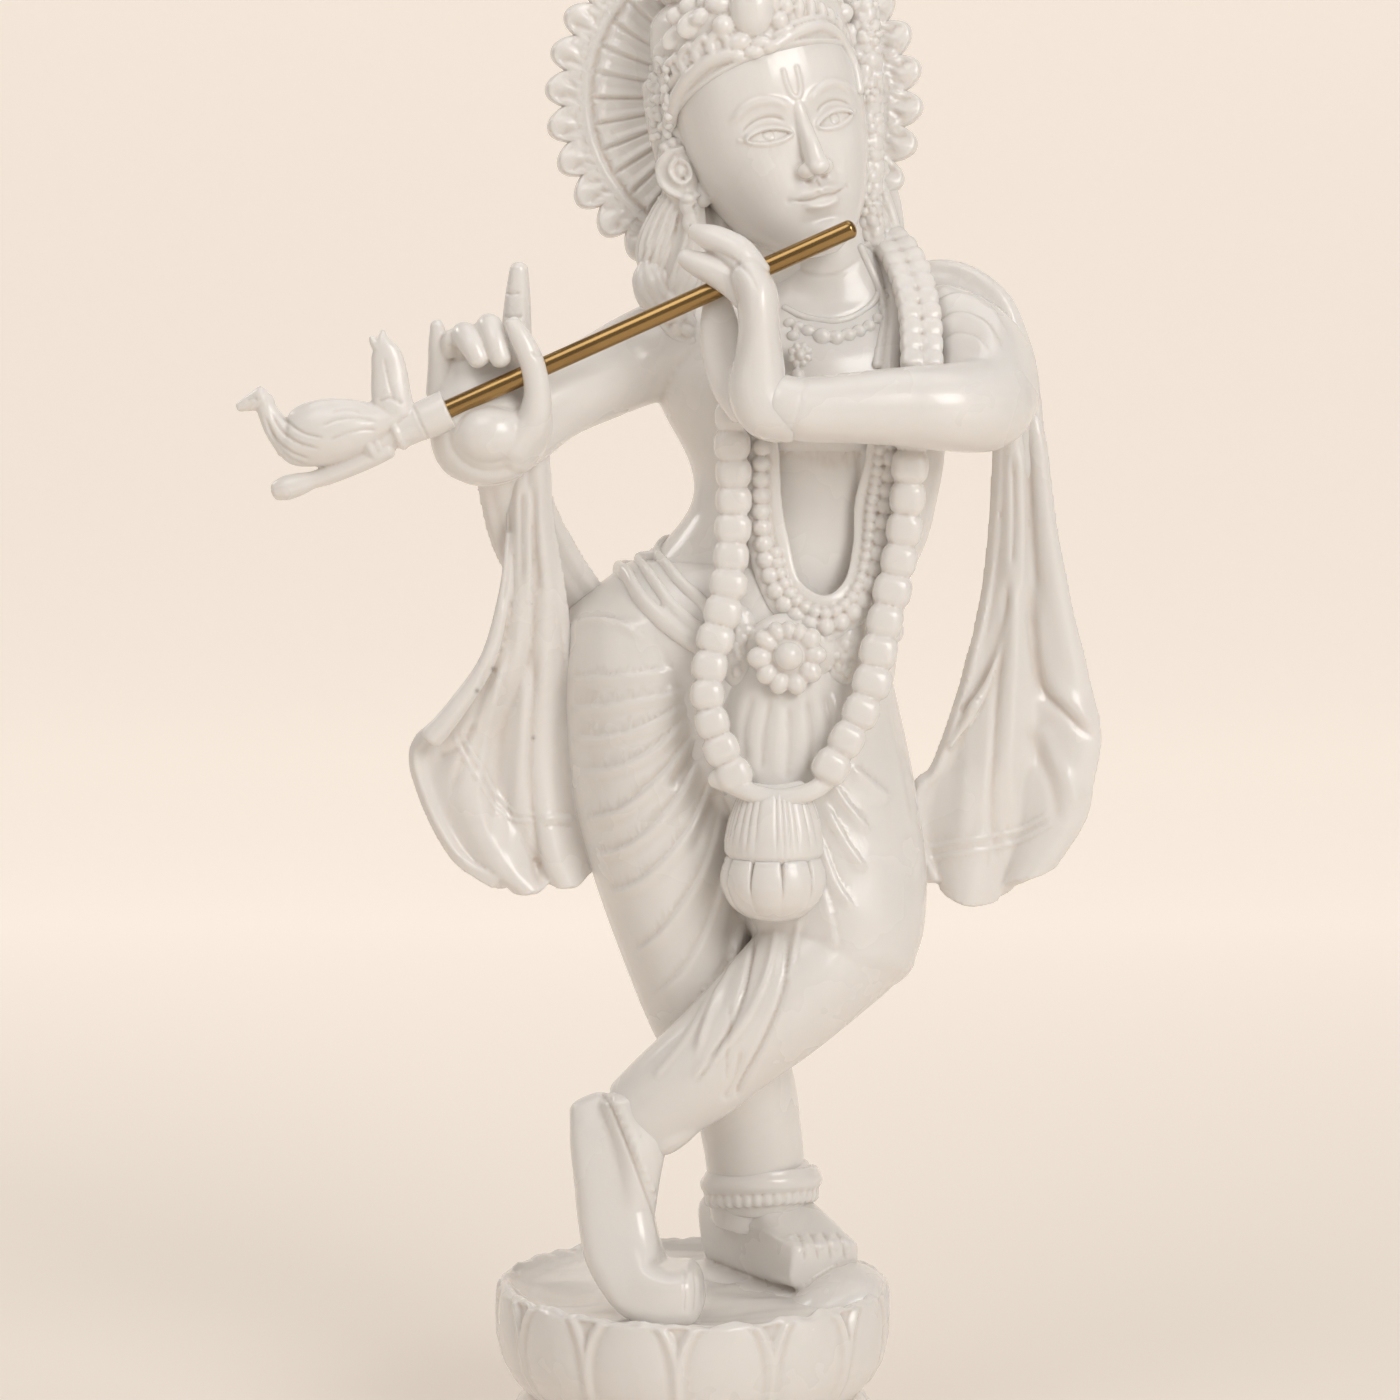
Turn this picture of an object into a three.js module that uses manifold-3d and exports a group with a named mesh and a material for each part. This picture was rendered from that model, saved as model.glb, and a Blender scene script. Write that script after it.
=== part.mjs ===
// A flute player in white marble: a crowned figure carved in one with its lotus plinth, a brass rod for the
// flute and a small marble bird that closes the flute's far end. Millimetres, +Z up, the figure faces -Y.
// The origin is the centre of the plinth's underside.
import * as THREE from "three";
import { mergeVertices } from "three/addons/utils/BufferGeometryUtils.js";
import Module from "manifold-3d";

const wasm = await Module();
wasm.setup();

// Overall sizes
const standingHeight = 540.6; // the ground that the feet stand on to the tip of the crest
const plinthHeight = 69.4; // underside to that ground
const rimRadius = 75.5; // the lotus bowl at its widest
const waistRadius = 65.5; // where the bowl meets the lower tier
const waistHeight = 28;
const footRadius = 74; // the plinth's lowest moulding
const footThickness = 7;
const petals = 13; // round each tier of the lotus
const fluteDiameter = 7;
const fluteLength = 172; // the whole rod, with the length inside the bird's socket
const socketDepth = 9; // how far the rod goes into the bird piece
const socketWall = 3.6;
const gap = 0.3; // left between pieces that touch

// The figure is laid out on a carver's grid: 1418 squares from the ground to the crest. Heights are counted
// from a line that lies 182 squares below the ground. Stations are [x, y, z, half width, half depth, turn in
// degrees], all but the turn in grid squares.
const grid = standingHeight / 1418;
const lift = plinthHeight - 182 * grid;

const marbleWhite = new THREE.MeshStandardMaterial({ color: 0xe9e3da, roughness: 0.28, metalness: 0 });
const polishedBrass = new THREE.MeshStandardMaterial({ color: 0x9a7340, roughness: 0.25, metalness: 1 });

const up = new THREE.Vector3(0, 0, 1);
const back = new THREE.Vector3(0, 1, 0);

// Takes a point or a geometry from the carver's grid to millimetres above the plinth's underside.
const onGrid = new THREE.Matrix4().makeTranslation(0, 0, lift).scale(new THREE.Vector3(grid, grid, grid));
const onGridSolid = (geometry) => solid(geometry.applyMatrix4(onGrid));

// Turns a closed geometry into a solid for joining and cutting.
function solid(geometry) {
  const bare = geometry.clone();
  for (const name of Object.keys(bare.attributes)) {
    if (name !== "position") bare.deleteAttribute(name);
  }
  const merged = mergeVertices(bare, 1e-4);
  return new wasm.Manifold(
    new wasm.Mesh({
      numProp: 3,
      vertProperties: new Float32Array(merged.attributes.position.array),
      triVerts: new Uint32Array(merged.index.array),
    }),
  );
}

function join(solids) {
  return solids.reduce((whole, one) => whole.add(one));
}

function meshOf(name, shape, material) {
  const made = shape.getMesh();
  const geometry = new THREE.BufferGeometry();
  geometry.setAttribute("position", new THREE.BufferAttribute(new Float32Array(made.vertProperties), 3));
  geometry.setIndex(new THREE.BufferAttribute(new Uint32Array(made.triVerts), 1));
  geometry.computeVertexNormals();
  const mesh = new THREE.Mesh(geometry, material);
  mesh.name = name;
  return mesh;
}

function pointsToGeometry(points, index) {
  const geometry = new THREE.BufferGeometry();
  const flat = points.flatMap((p) => [p.x, p.y, p.z]);
  geometry.setAttribute("position", new THREE.Float32BufferAttribute(flat, 3));
  geometry.setIndex(index);
  return geometry;
}

// A ring of points per entry, closed by a pole at each end. Every ring has the same number of points.
function skin(rings, firstPole, lastPole) {
  const sides = rings[0].length;
  const points = [...rings.flat(), firstPole, lastPole];
  const first = points.length - 2;
  const last = points.length - 1;
  const index = [];
  for (let side = 0; side < sides; side++) {
    const next = (side + 1) % sides;
    index.push(first, next, side);
    for (let ring = 0; ring + 1 < rings.length; ring++) {
      const low = ring * sides;
      const high = low + sides;
      index.push(low + side, low + next, high + next, low + side, high + next, high + side);
    }
    const top = (rings.length - 1) * sides;
    index.push(last, top + side, top + next);
  }
  return pointsToGeometry(points, index);
}

// A limb: a tube whose oval section follows the stations, with its two ends rounded out by the caps, or flat
// where a cap is 0. Its depth is measured along the facing direction, or along the one that the ring before
// had when the facing is carried. The rings stand square to the route, or level.
function limb(stations, options = {}) {
  const { sides = 10, caps = [0, 0.6], facing = back, carried = false, level = false, twist = 0 } = options;
  const route = new THREE.CatmullRomCurve3(stations.map(([x, y, z]) => new THREE.Vector3(x, y, z)));
  const sizes = new THREE.CatmullRomCurve3(
    stations.map(([, , , half, deep, turn]) => new THREE.Vector3(half, deep ?? half, turn ?? 0)),
  );
  const spans = stations.length - 1;
  let towards = facing;
  const ringAt = (along, push, share) => {
    const centre = route.getPoint(along);
    const tangent = level ? up : route.getTangent(along).normalize();
    const size = sizes.getPoint(along);
    const through = towards.clone().addScaledVector(tangent, -towards.dot(tangent)).normalize();
    if (carried) towards = through.clone();
    through.applyAxisAngle(tangent, THREE.MathUtils.degToRad(size.z));
    const across = through.clone().cross(tangent);
    centre.addScaledVector(tangent, push * Math.min(size.x, size.y));
    const ring = [];
    for (let side = 0; side < sides; side++) {
      const angle = (2 * Math.PI * side) / sides + THREE.MathUtils.degToRad(twist);
      const point = centre.clone();
      point.addScaledVector(across, Math.cos(angle) * size.x * share);
      point.addScaledVector(through, Math.sin(angle) * size.y * share);
      ring.push(point.applyMatrix4(onGrid));
    }
    return { ring, centre: centre.applyMatrix4(onGrid) };
  };
  const [first, last] = caps;
  const firstPole = ringAt(0, -first, 0).centre;
  const rings = [];
  if (first > 0) rings.push(ringAt(0, -0.7 * first, 0.72).ring);
  for (let step = 0; step <= spans; step++) rings.push(ringAt(step / spans, 0, 1).ring);
  if (last > 0) rings.push(ringAt(1, 0.7 * last, 0.72).ring);
  return solid(skin(rings, firstPole, ringAt(1, last, 0).centre));
}

// A string of beads: a four-sided tube, flat side out, that swells and pinches once for each bead.
function beadString(points, radius, bead) {
  const pinch = 0.7;
  const route = new THREE.CatmullRomCurve3(points.map(([x, y, z]) => new THREE.Vector3(x, y, z)));
  const halves = 2 * Math.max(2, Math.round(route.getLength() / bead));
  const stations = [];
  for (let half = 0; half <= halves; half++) {
    const p = route.getPointAt(half / halves);
    const girth = half % 2 === 0 ? radius * pinch : radius;
    stations.push([p.x, p.y, p.z, girth, girth]);
  }
  return limb(stations, { sides: 4, caps: [0, 0], carried: true, twist: 45 });
}

// A hanging cloth of even thickness between two edges, each a list of points from the top to the hem, the
// first edge on the left. fold(u, v) pushes the cloth to the back and drop(u, v) lowers it, in squares: u
// runs from the first edge to the second and v from the top to the hem.
function sheet(firstEdge, secondEdge, { across = 8, down = 8, thickness = 15, fold, drop }) {
  const edges = [firstEdge, secondEdge].map(
    (edge) => new THREE.CatmullRomCurve3(edge.map((point) => new THREE.Vector3(...point))),
  );
  const width = across + 1;
  const points = [];
  for (let row = 0; row <= down; row++) {
    const v = row / down;
    const [first, second] = edges.map((edge) => edge.getPoint(v));
    const line = Array.from({ length: width }, (_, column) => {
      const u = column / across;
      return first.clone().lerp(second, u).add(new THREE.Vector3(0, fold(u, v), -drop(u, v)));
    });
    const half = new THREE.Vector3(0, thickness / 2, 0);
    points.push(...line.map((point) => point.clone().add(half).applyMatrix4(onGrid)));
    points.push(...line.reverse().map((point) => point.sub(half).applyMatrix4(onGrid)));
  }
  const girth = 2 * width;
  const index = [];
  const quad = (a, b, c, d) => index.push(a, b, c, a, c, d);
  for (let row = 0; row < down; row++) {
    for (let side = 0; side < girth; side++) {
      const next = (side + 1) % girth;
      quad(row * girth + side, row * girth + next, (row + 1) * girth + next, (row + 1) * girth + side);
    }
  }
  const hem = down * girth;
  for (let column = 0; column < across; column++) {
    const facingIt = girth - 1 - column;
    quad(column, facingIt, facingIt - 1, column + 1);
    quad(hem + column, hem + column + 1, hem + facingIt - 1, hem + facingIt);
  }
  return solid(pointsToGeometry(points, index));
}

// Body and legs
const torso = [
  [40, 2, 705, 140, 82], [36, 5, 800, 166, 98], [62, 2, 876, 147, 90], [104, 0, 938, 132, 80],
  [121, 0, 976, 124, 80], [123, 0, 1015, 128, 85], [106, 0, 1092, 147, 90], [112, 5, 1130, 140, 82],
  [126, 8, 1160, 112, 70], [134, 8, 1188, 74, 58], [131, 3, 1216, 54, 51], [116, -6, 1275, 52, 52],
];
const standingLeg = [
  [-43, 5, 830, 82, 90], [-43, 5, 786, 88, 98], [-37, 2, 696, 86, 96], [-23, -2, 616, 79, 90],
  [-5, -2, 536, 69, 80], [15, 8, 462, 60, 68], [48, 24, 388, 54, 60], [60, 42, 325, 51, 52],
  [64, 56, 285, 50, 48], [64, 62, 232, 46, 45],
];
const bentThigh = [
  [112, 0, 812, 80, 90], [119, -10, 757, 88, 98], [128, -20, 684, 94, 96], [139, -36, 606, 94, 92],
  [144, -54, 553, 88, 84], [148, -66, 522, 76, 75],
];
const bentShin = [
  [146, -58, 542, 68, 76], [112, -78, 511, 62, 68], [78, -92, 481, 58, 60], [44, -97, 452, 54, 54],
  [10, -97, 422, 52, 50], [-22, -93, 396, 48, 46], [-52, -87, 370, 44, 42],
];

// Feet, and the ground that is left under the standing one
const raisedFoot = [
  [-88, -72, 378, 30, 34], [-82, -80, 350, 45, 42], [-76, -90, 305, 44, 42], [-75, -100, 262, 40, 40],
  [-66, -112, 226, 40, 44], [-40, -128, 208, 34, 44], [-16, -136, 204, 24, 42],
];
const flatFoot = [
  [40, 96, 214, 32, 30], [58, 74, 230, 42, 46], [88, 44, 232, 46, 42], [118, 14, 220, 48, 32],
  [146, -14, 211, 48, 22],
];
const underFoot = [[34, 104, 188, 34, 14], [92, 46, 188, 58, 14], [158, -12, 188, 54, 14]];

// Arms and hands
const leftArm = [
  [252, 8, 1144, 48, 48], [276, -25, 1120, 54, 52], [286, -70, 1092, 51, 50], [282, -108, 1074, 46, 46],
  [240, -138, 1072, 44, 42], [199, -150, 1073, 38, 38], [150, -160, 1072, 34, 34], [105, -166, 1071, 32, 31],
  [78, -166, 1078, 29, 28],
];
const leftHand = [
  [80, -166, 1076, 28, 26], [69, -168, 1105, 24, 26], [64, -170, 1138, 21, 28], [62, -172, 1168, 22, 30],
  [58, -170, 1194, 22, 30], [52, -160, 1212, 18, 28],
];
const rightArm = [
  [24, 5, 1152, 62, 56], [-50, -8, 1118, 46, 48], [-91, -30, 1099, 42, 44], [-135, -60, 1078, 40, 42],
  [-174, -86, 1050, 42, 42], [-190, -106, 1036, 44, 30],
];
const rightPalm = [
  [-198, -104, 1004, 44, 22], [-199, -112, 1020, 59, 32], [-198, -116, 1046, 61, 34],
  [-198, -108, 1080, 57, 22], [-198, -102, 1110, 50, 17], [-198, -100, 1124, 44, 14],
];
const fingers = [
  // left hand, over the flute
  [[54, -160, 1212, 12], [36, -152, 1234, 10], [14, -146, 1244, 9.5], [2, -142, 1247, 7]],
  [[56, -166, 1192, 13], [32, -158, 1208, 11.5], [8, -150, 1218, 10], [-12, -146, 1224, 7.5]],
  [[50, -148, 1196, 11], [30, -136, 1216, 10], [8, -130, 1226, 9]],
  [[70, -158, 1100, 16], [46, -150, 1124, 17], [36, -144, 1152, 14], [34, -140, 1176, 10]],
  // right hand: two raised, two curled on the flute, the thumb round it
  [[-240, -104, 1104, 15], [-246, -108, 1130, 12.5], [-247, -114, 1152, 9.5]],
  [[-174, -103, 1110, 16], [-172, -108, 1156, 15], [-167, -114, 1186, 14], [-165, -118, 1204, 11]],
  [[-222, -102, 1116, 14], [-222, -114, 1142, 12.5], [-213, -134, 1134, 12.5], [-204, -144, 1112, 11]],
  [[-196, -102, 1120, 14], [-196, -114, 1154, 12.5], [-189, -136, 1142, 12.5], [-184, -146, 1118, 11]],
  [[-152, -118, 1050, 20], [-139, -146, 1082, 17], [-145, -158, 1112, 14], [-160, -154, 1142, 12.5],
    [-174, -142, 1158, 10]],
];

// Cloth: the edges of the two hanging ends of the scarf, and the parts that cross the shoulder and the back
const leftScarf = [
  [
    [-176, -62, 1034], [-179, -60, 960], [-182, -58, 900], [-202, -54, 821], [-242, -50, 769],
    [-278, -46, 733], [-270, -46, 682], [-239, -46, 622], [-198, -46, 595],
  ],
  [
    [-145, -62, 1034], [-140, -60, 960], [-129, -52, 890], [-125, -50, 840], [-124, -50, 790],
    [-121, -48, 740], [-116, -48, 690], [-106, -46, 646], [-94, -44, 610],
  ],
];
const rightScarf = [
  [
    [308, 2, 1100], [302, 2, 1040], [296, 0, 926], [284, -3, 850], [270, -6, 796], [242, -8, 712],
    [222, -10, 686], [220, -10, 634], [240, -12, 586],
  ],
  [
    [346, 4, 1100], [352, 2, 1040], [362, 0, 960], [378, -2, 868], [392, -4, 800], [406, -6, 743],
    [399, -8, 690], [382, -10, 628], [340, -12, 588],
  ],
];
const shoulderCloth = [
  [205, 30, 1178, 30, 14, -30], [250, 26, 1182, 34, 14, 0], [292, 14, 1162, 30, 18, 40],
  [318, 6, 1126, 24, 20, 60], [328, 6, 1084, 20, 22, 75],
];
const backSash = [
  [262, 34, 1178, 26, 12], [236, 70, 1136, 34, 12, 10], [160, 96, 1040, 39, 13], [80, 96, 950, 40, 13],
  [-20, 78, 874, 37, 13, -15], [-84, 46, 852, 37, 13, -35], [-120, 14, 872, 37, 12, -30],
  [-160, -27, 936, 37, 12, -8], [-181, -60, 1008, 32, 12],
];

// Ornaments: the long garland, the inner necklace, the belt and the tassel
const garland = [
  [192, 20, 1226], [213, -30, 1204], [224, -76, 1152], [221, -96, 1104], [213, -100, 1056], [208, -98, 1006],
  [206, -92, 956], [197, -92, 906], [185, -98, 857], [172, -110, 798], [152, -118, 755], [124, -126, 712],
  [84, -132, 692], [46, -126, 708], [24, -120, 746], [14, -116, 792], [20, -108, 838], [33, -98, 888],
  [38, -90, 936], [40, -92, 996], [38, -98, 1046], [40, -96, 1096], [52, -84, 1146],
];
const innerNecklace = [
  [70, -88, 1080], [68, -92, 1035], [66, -86, 976], [72, -84, 920], [92, -86, 876], [128, -92, 856],
  [160, -86, 876], [178, -80, 920], [188, -80, 976], [192, -88, 1035], [190, -90, 1085],
];
const collar = [
  [84, -34, 1196, 9], [106, -62, 1160, 9], [140, -74, 1142, 10], [174, -60, 1160, 9], [190, -30, 1196, 9],
];
// the belt's stations have its half diagonals, through its thickness and up its height
const belt = [
  [-50, 66, 876], [-66, 20, 880], [-50, -40, 878], [-20, -74, 860], [10, -92, 838], [50, -102, 824],
  [94, -106, 818], [140, -98, 820], [172, -70, 834], [182, -20, 846],
].map((station) => [...station, 15, 34]);

// The head turns and tilts about its own middle.
const headMiddle = new THREE.Vector3(76, -22, 1338);
const headTurn = new THREE.Matrix4()
  .makeRotationY(THREE.MathUtils.degToRad(-15))
  .multiply(new THREE.Matrix4().makeRotationZ(THREE.MathUtils.degToRad(18)))
  .multiply(new THREE.Matrix4().makeRotationX(THREE.MathUtils.degToRad(4)));

// Places a geometry made in the head's own frame, in grid squares.
function onHead(geometry) {
  geometry.applyMatrix4(headTurn).translate(headMiddle.x, headMiddle.y, headMiddle.z);
  return onGridSolid(geometry);
}

function egg([rx, ry, rz], [x, y, z]) {
  return new THREE.SphereGeometry(1, 6, 4).rotateX(Math.PI / 2).scale(rx, ry, rz).translate(x, y, z);
}

function head() {
  const skull = [];
  const profile = [
    // [z, half width, front, back]: chin to the top of the head
    [-122, 22, -80, -30], [-104, 48, -90, 20], [-70, 71, -96, 60], [-20, 89, -100, 88], [40, 94, -100, 96],
    [84, 80, -90, 88], [108, 56, -64, 64],
  ];
  const sides = 12;
  for (const [z, half, front, rear] of profile) {
    const ring = [];
    for (let side = 0; side < sides; side++) {
      const angle = (2 * Math.PI * side) / sides;
      const y = (front + rear) / 2 + ((rear - front) / 2) * Math.sin(angle);
      ring.push(new THREE.Vector3(half * Math.cos(angle), y, z));
    }
    skull.push(ring);
  }
  const parts = [
    skin(skull, new THREE.Vector3(0, -54, -126), new THREE.Vector3(0, 0, 122)),
    egg([12, 20, 32], [0, -92, -18]), // nose
    egg([24, 9, 9], [0, -93, -62]), // lips
  ];
  for (const side of [-1, 1]) {
    parts.push(egg([20, 10, 11], [34 * side, -84, 2]));
    parts.push(egg([15, 20, 32], [84 * side, 2, -12]));
    parts.push(egg([12, 12, 14], [82 * side, -2, -48]));
  }
  return parts.map(onHead);
}

// The crown: a cap over the hair, cut off above the brow and lower behind, with a thick band along the cut.
function crown() {
  const [across, through, over] = [106, 110, 134];
  const brow = 82;
  const nape = -12;
  const slope = Math.atan2(brow - nape, 2 * through);
  const cap = new THREE.SphereGeometry(1, 14, 7).rotateX(Math.PI / 2).scale(across, through, over);
  const below = new THREE.BoxGeometry(400, 500, 300);
  below.translate(0, 0, -150).rotateX(-slope).translate(0, 0, (brow + nape) / 2);
  const band = [];
  const steps = 14;
  for (let step = 0; step <= steps; step++) {
    const angle = (2 * Math.PI * step) / steps;
    const z = (brow + nape) / 2 - (Math.sin(angle) * (brow - nape)) / 2;
    const girth = Math.sqrt(1 - (z / over) ** 2);
    const p = new THREE.Vector3(across * girth * Math.cos(angle), through * girth * Math.sin(angle), z);
    p.applyMatrix4(headTurn).add(headMiddle);
    band.push([p.x, p.y, p.z, 12, 12]);
  }
  return [
    onHead(cap).subtract(onHead(below)),
    limb(band, { sides: 4, caps: [0, 0], carried: true, twist: 45 }),
    onHead(egg([17, 14, 22], [0, -68, 112])),
  ];
}

// A scalloped disc that faces the front, with a pointed lobe and a raised rib on it for each of the lobes.
// Radii and depths in grid squares.
function scallops(centre, lobes, { hub, inner, outer, depth, relief }) {
  const sides = 2 * lobes; // a notch and a tip for each lobe
  const ringAt = (radius, notched, y, rise) =>
    Array.from({ length: sides }, (_, side) => {
      const angle = (2 * Math.PI * side) / sides;
      const r = side % 2 === 0 ? notched : radius;
      const forward = side % 2 === 0 ? 0 : rise;
      const point = new THREE.Vector3(r * Math.cos(angle), y - forward, r * Math.sin(angle));
      return point.add(centre).applyMatrix4(onGrid);
    });
  const pole = (y) => new THREE.Vector3(0, y, 0).add(centre).applyMatrix4(onGrid);
  return solid(
    skin(
      [ringAt(outer, inner, 0, 0), ringAt(outer, inner, -depth, 0), ringAt(inner, inner, -depth, relief),
        ringAt(hub, hub, -depth, relief)],
      pole(0),
      pole(-depth),
    ),
  );
}

// The plume: a disc of pleats that stands behind the head like a halo, with a crest on top.
function plume() {
  const centre = new THREE.Vector3(41, 26, 1373);
  const disc = scallops(centre, 26, { hub: 86, inner: 162, outer: 187, depth: 24, relief: 9 });
  const crest = [[18, 8, 1520, 34, 16], [14, 6, 1556, 36, 15], [10, 6, 1590, 16, 10]];
  return [disc, limb(crest, { sides: 7, caps: [0, 1] })];
}

// Hair in locks behind the ears and down the back
const locks = [
  [[2, 10, 1300, 32, 28], [-16, 0, 1246, 29, 26], [-33, -8, 1204, 26, 22], [-36, -14, 1182, 18, 14]],
  [[166, 22, 1296, 22, 26], [180, 16, 1256, 24, 26], [188, 8, 1222, 18, 22]],
  [
    [58, 58, 1340, 78, 40], [74, 76, 1262, 72, 36], [94, 86, 1190, 62, 28], [106, 88, 1124, 46, 18],
    [110, 82, 1080, 20, 10],
  ],
];

// Where one petal ends and the next begins, just left of the middle of the front
const firstPetal = THREE.MathUtils.degToRad(-94.4);

// The plinth: a lotus bowl over a spreading lower tier and a round foot.
function lotusTier(levels, poleLow, poleHigh) {
  const sides = petals * 3;
  const rings = levels.map(([z, radius, relief]) => {
    const ring = [];
    for (let side = 0; side < sides; side++) {
      const angle = (2 * Math.PI * side) / sides;
      const r = radius - relief * (1 - Math.abs(Math.sin((petals * (angle - firstPetal)) / 2)) ** 0.5);
      ring.push(new THREE.Vector3(r * Math.cos(angle), r * Math.sin(angle), z));
    }
    return ring;
  });
  return solid(skin(rings, new THREE.Vector3(0, 0, poleLow), new THREE.Vector3(0, 0, poleHigh)));
}

function plinth() {
  const rimLip = 3.2;
  const rise = plinthHeight - waistHeight;
  const run = rimRadius - waistRadius;
  const bowl = lotusTier(
    [
      [waistHeight - 3, waistRadius, 0], [waistHeight + 0.16 * rise, waistRadius + 0.5 * run, 2],
      [waistHeight + 0.5 * rise, rimRadius, 3],
      [plinthHeight + 1, rimRadius - 0.5, 2.4], [plinthHeight, rimRadius - 2 * rimLip, 1.5],
    ],
    waistHeight - 3,
    plinthHeight,
  );
  const spread = footRadius - waistRadius;
  const lower = lotusTier(
    [
      [footThickness - 1, footRadius - 4, 0], [footThickness + 3, footRadius - 1, 3],
      [footThickness + 10, footRadius - 0.3 * spread, 3], [waistHeight + 1, waistRadius - 1, 0],
    ],
    footThickness - 1,
    waistHeight + 1,
  );
  const foot = new THREE.CylinderGeometry(footRadius, footRadius, footThickness, petals * 2);
  foot.rotateX(Math.PI / 2).translate(0, 0, footThickness / 2);
  return [solid(foot), lower, bowl];
}

function tassel() {
  const profile = [
    [0, -112], [30, -104], [50, -78], [52, -52], [43, -46], [51, -40], [42, -12], [28, 16], [0, 18],
  ].map(([r, z]) => new THREE.Vector2(r, z));
  const bell = new THREE.LatheGeometry(profile, 10).rotateX(Math.PI / 2).translate(80, -112, 684);
  return onGridSolid(bell);
}

function flower() {
  const centre = new THREE.Vector3(93, -84, 831);
  const petalDisc = scallops(centre, 10, { hub: 16, inner: 26, outer: 38, depth: 42, relief: 4 });
  return [petalDisc, onGridSolid(egg([14, 14, 14], [93, -126, 831]))];
}

// The flute: from the tip beside the mouth, down through both hands into the bird's socket.
const fluteTip = new THREE.Vector3(156, -140, 1244.6).applyMatrix4(onGrid);
const fluteFall = THREE.MathUtils.degToRad(24.06);
const fluteWay = new THREE.Vector3(-Math.cos(fluteFall), 0, -Math.sin(fluteFall));

// A turned shape on the flute's axis. Profile points are [radius, distance from the flute's tip] in
// millimetres.
function onFlute(profile, segments) {
  const turned = new THREE.LatheGeometry(profile.map(([r, d]) => new THREE.Vector2(r, d)), segments);
  const aim = new THREE.Quaternion().setFromUnitVectors(new THREE.Vector3(0, 1, 0), fluteWay);
  return solid(turned.applyQuaternion(aim).translate(fluteTip.x, fluteTip.y, fluteTip.z));
}

function rod(radius, start, end) {
  const segments = 14;
  const round = Math.min(radius * 0.6, 2);
  return onFlute(
    [[0, start], [radius - round, start + 0.15 * round], [radius, start + round], [radius, end], [0, end]],
    segments,
  );
}

const socketMouth = fluteLength - socketDepth;
const sleeve = fluteDiameter / 2 + gap + socketWall;
const ferrule = 13; // the plain part of the bird's stem that sits in the palm
const collarSwell = 2.2; // how far the turned collar past it stands out

const bird = {
  body: [
    [-392, -140, 1024, 22, 18], [-370, -140, 1036, 32, 26], [-342, -140, 1044, 34, 28],
    [-312, -140, 1056, 26, 22], [-286, -140, 1068, 12, 14],
  ],
  neck: [[-388, -140, 1032, 20, 18], [-400, -140, 1056, 14, 14], [-410, -140, 1078, 12, 11]],
  head: [[-412, -140, 1080, 13, 12], [-426, -140, 1075, 9, 8], [-438, -140, 1070, 4, 4]],
  tail: [
    [-286, -140, 1056, 20, 13], [-284, -140, 1092, 18, 11], [-294, -140, 1120, 14, 8],
    [-303, -140, 1140, 4, 4],
  ],
};

function birdPiece() {
  // [how much slimmer than the sleeve, distance past the mouth]
  const profile = [
    [0, 0], [0, ferrule - 2], [-0.8, ferrule], [-0.8, 20], [-collarSwell, 23], [-collarSwell, 28], [0.4, 32],
    [2.3, 39], [2, 60], [2.4, 67], [4.6, 71],
  ].map(([slimmer, past]) => [sleeve - slimmer, socketMouth + past]);
  const stem = onFlute([[0, socketMouth], ...profile, [0, socketMouth + 72]], 10);
  const carved = join([
    limb(bird.body, { sides: 8, caps: [0.6, 0.6] }),
    limb(bird.neck, { sides: 6, caps: [0, 0] }),
    limb(bird.head, { sides: 6, caps: [0.6, 0.8] }),
    limb(bird.tail, { sides: 6 }),
  ]);
  const bore = rod(fluteDiameter / 2 + gap, socketMouth - 5, fluteLength + gap);
  return stem.add(carved).subtract(bore);
}

function figure() {
  const rolling = (waves, depth) => (u, v) => depth * (0.35 + 0.65 * v) * Math.sin(2 * Math.PI * waves * u);
  const buried = [0, 0];
  const carved = join([
    limb(torso, { sides: 14, caps: buried, level: true }),
    limb(standingLeg, { caps: buried }),
    limb(bentThigh),
    limb(bentShin),
    limb(raisedFoot, { sides: 8, caps: [0.6, 0.6] }),
    limb(flatFoot, { sides: 8, caps: [0.6, 0.6], facing: up }),
    limb(underFoot, { sides: 8, caps: [0.9, 0.9], facing: up }),
    onGridSolid(egg([62, 58, 17], [71, 52, 279])), // anklet
    limb(leftArm, { caps: buried, facing: up }),
    limb(leftHand, { sides: 8, caps: buried }),
    limb(rightArm, { caps: buried, facing: up }),
    limb(rightPalm, { sides: 8, caps: [0.6, 0.6] }),
    ...fingers.map((finger) => limb(finger, { sides: 5, caps: [0, 0.7], facing: up })),
    sheet(...leftScarf, { fold: rolling(2.5, 8), drop: (u, v) => 16 * v ** 3 * Math.sin(Math.PI * u) }),
    sheet(...rightScarf, { fold: rolling(2, 9), drop: (u, v) => 17 * v ** 3 * Math.sin(Math.PI * u) }),
    limb(shoulderCloth, { sides: 6, caps: buried }),
    limb(backSash, { sides: 6, caps: buried }),
    ...head(),
    ...crown(),
    ...plume(),
    ...locks.map((lock) => limb(lock, { sides: 7 })),
    beadString(garland, 19, 34),
    beadString(innerNecklace, 9, 38),
    limb(collar, { sides: 5, caps: buried }),
    limb(belt, { sides: 4, caps: buried, facing: up, twist: 45 }),
    tassel(),
    ...flower(),
    ...plinth(),
  ]);
  const channel = rod(fluteDiameter / 2 + gap, -10, fluteLength);
  const seat = sleeve + gap;
  const seatStart = socketMouth - gap;
  const seatEnd = socketMouth + 80;
  const step = socketMouth + ferrule - gap;
  const wide = seat + collarSwell;
  const birdSeat = onFlute(
    [[0, seatStart], [seat, seatStart], [seat, step], [wide, step], [wide, seatEnd], [0, seatEnd]],
    12,
  );
  return carved.subtract(channel).subtract(birdSeat);
}

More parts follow.
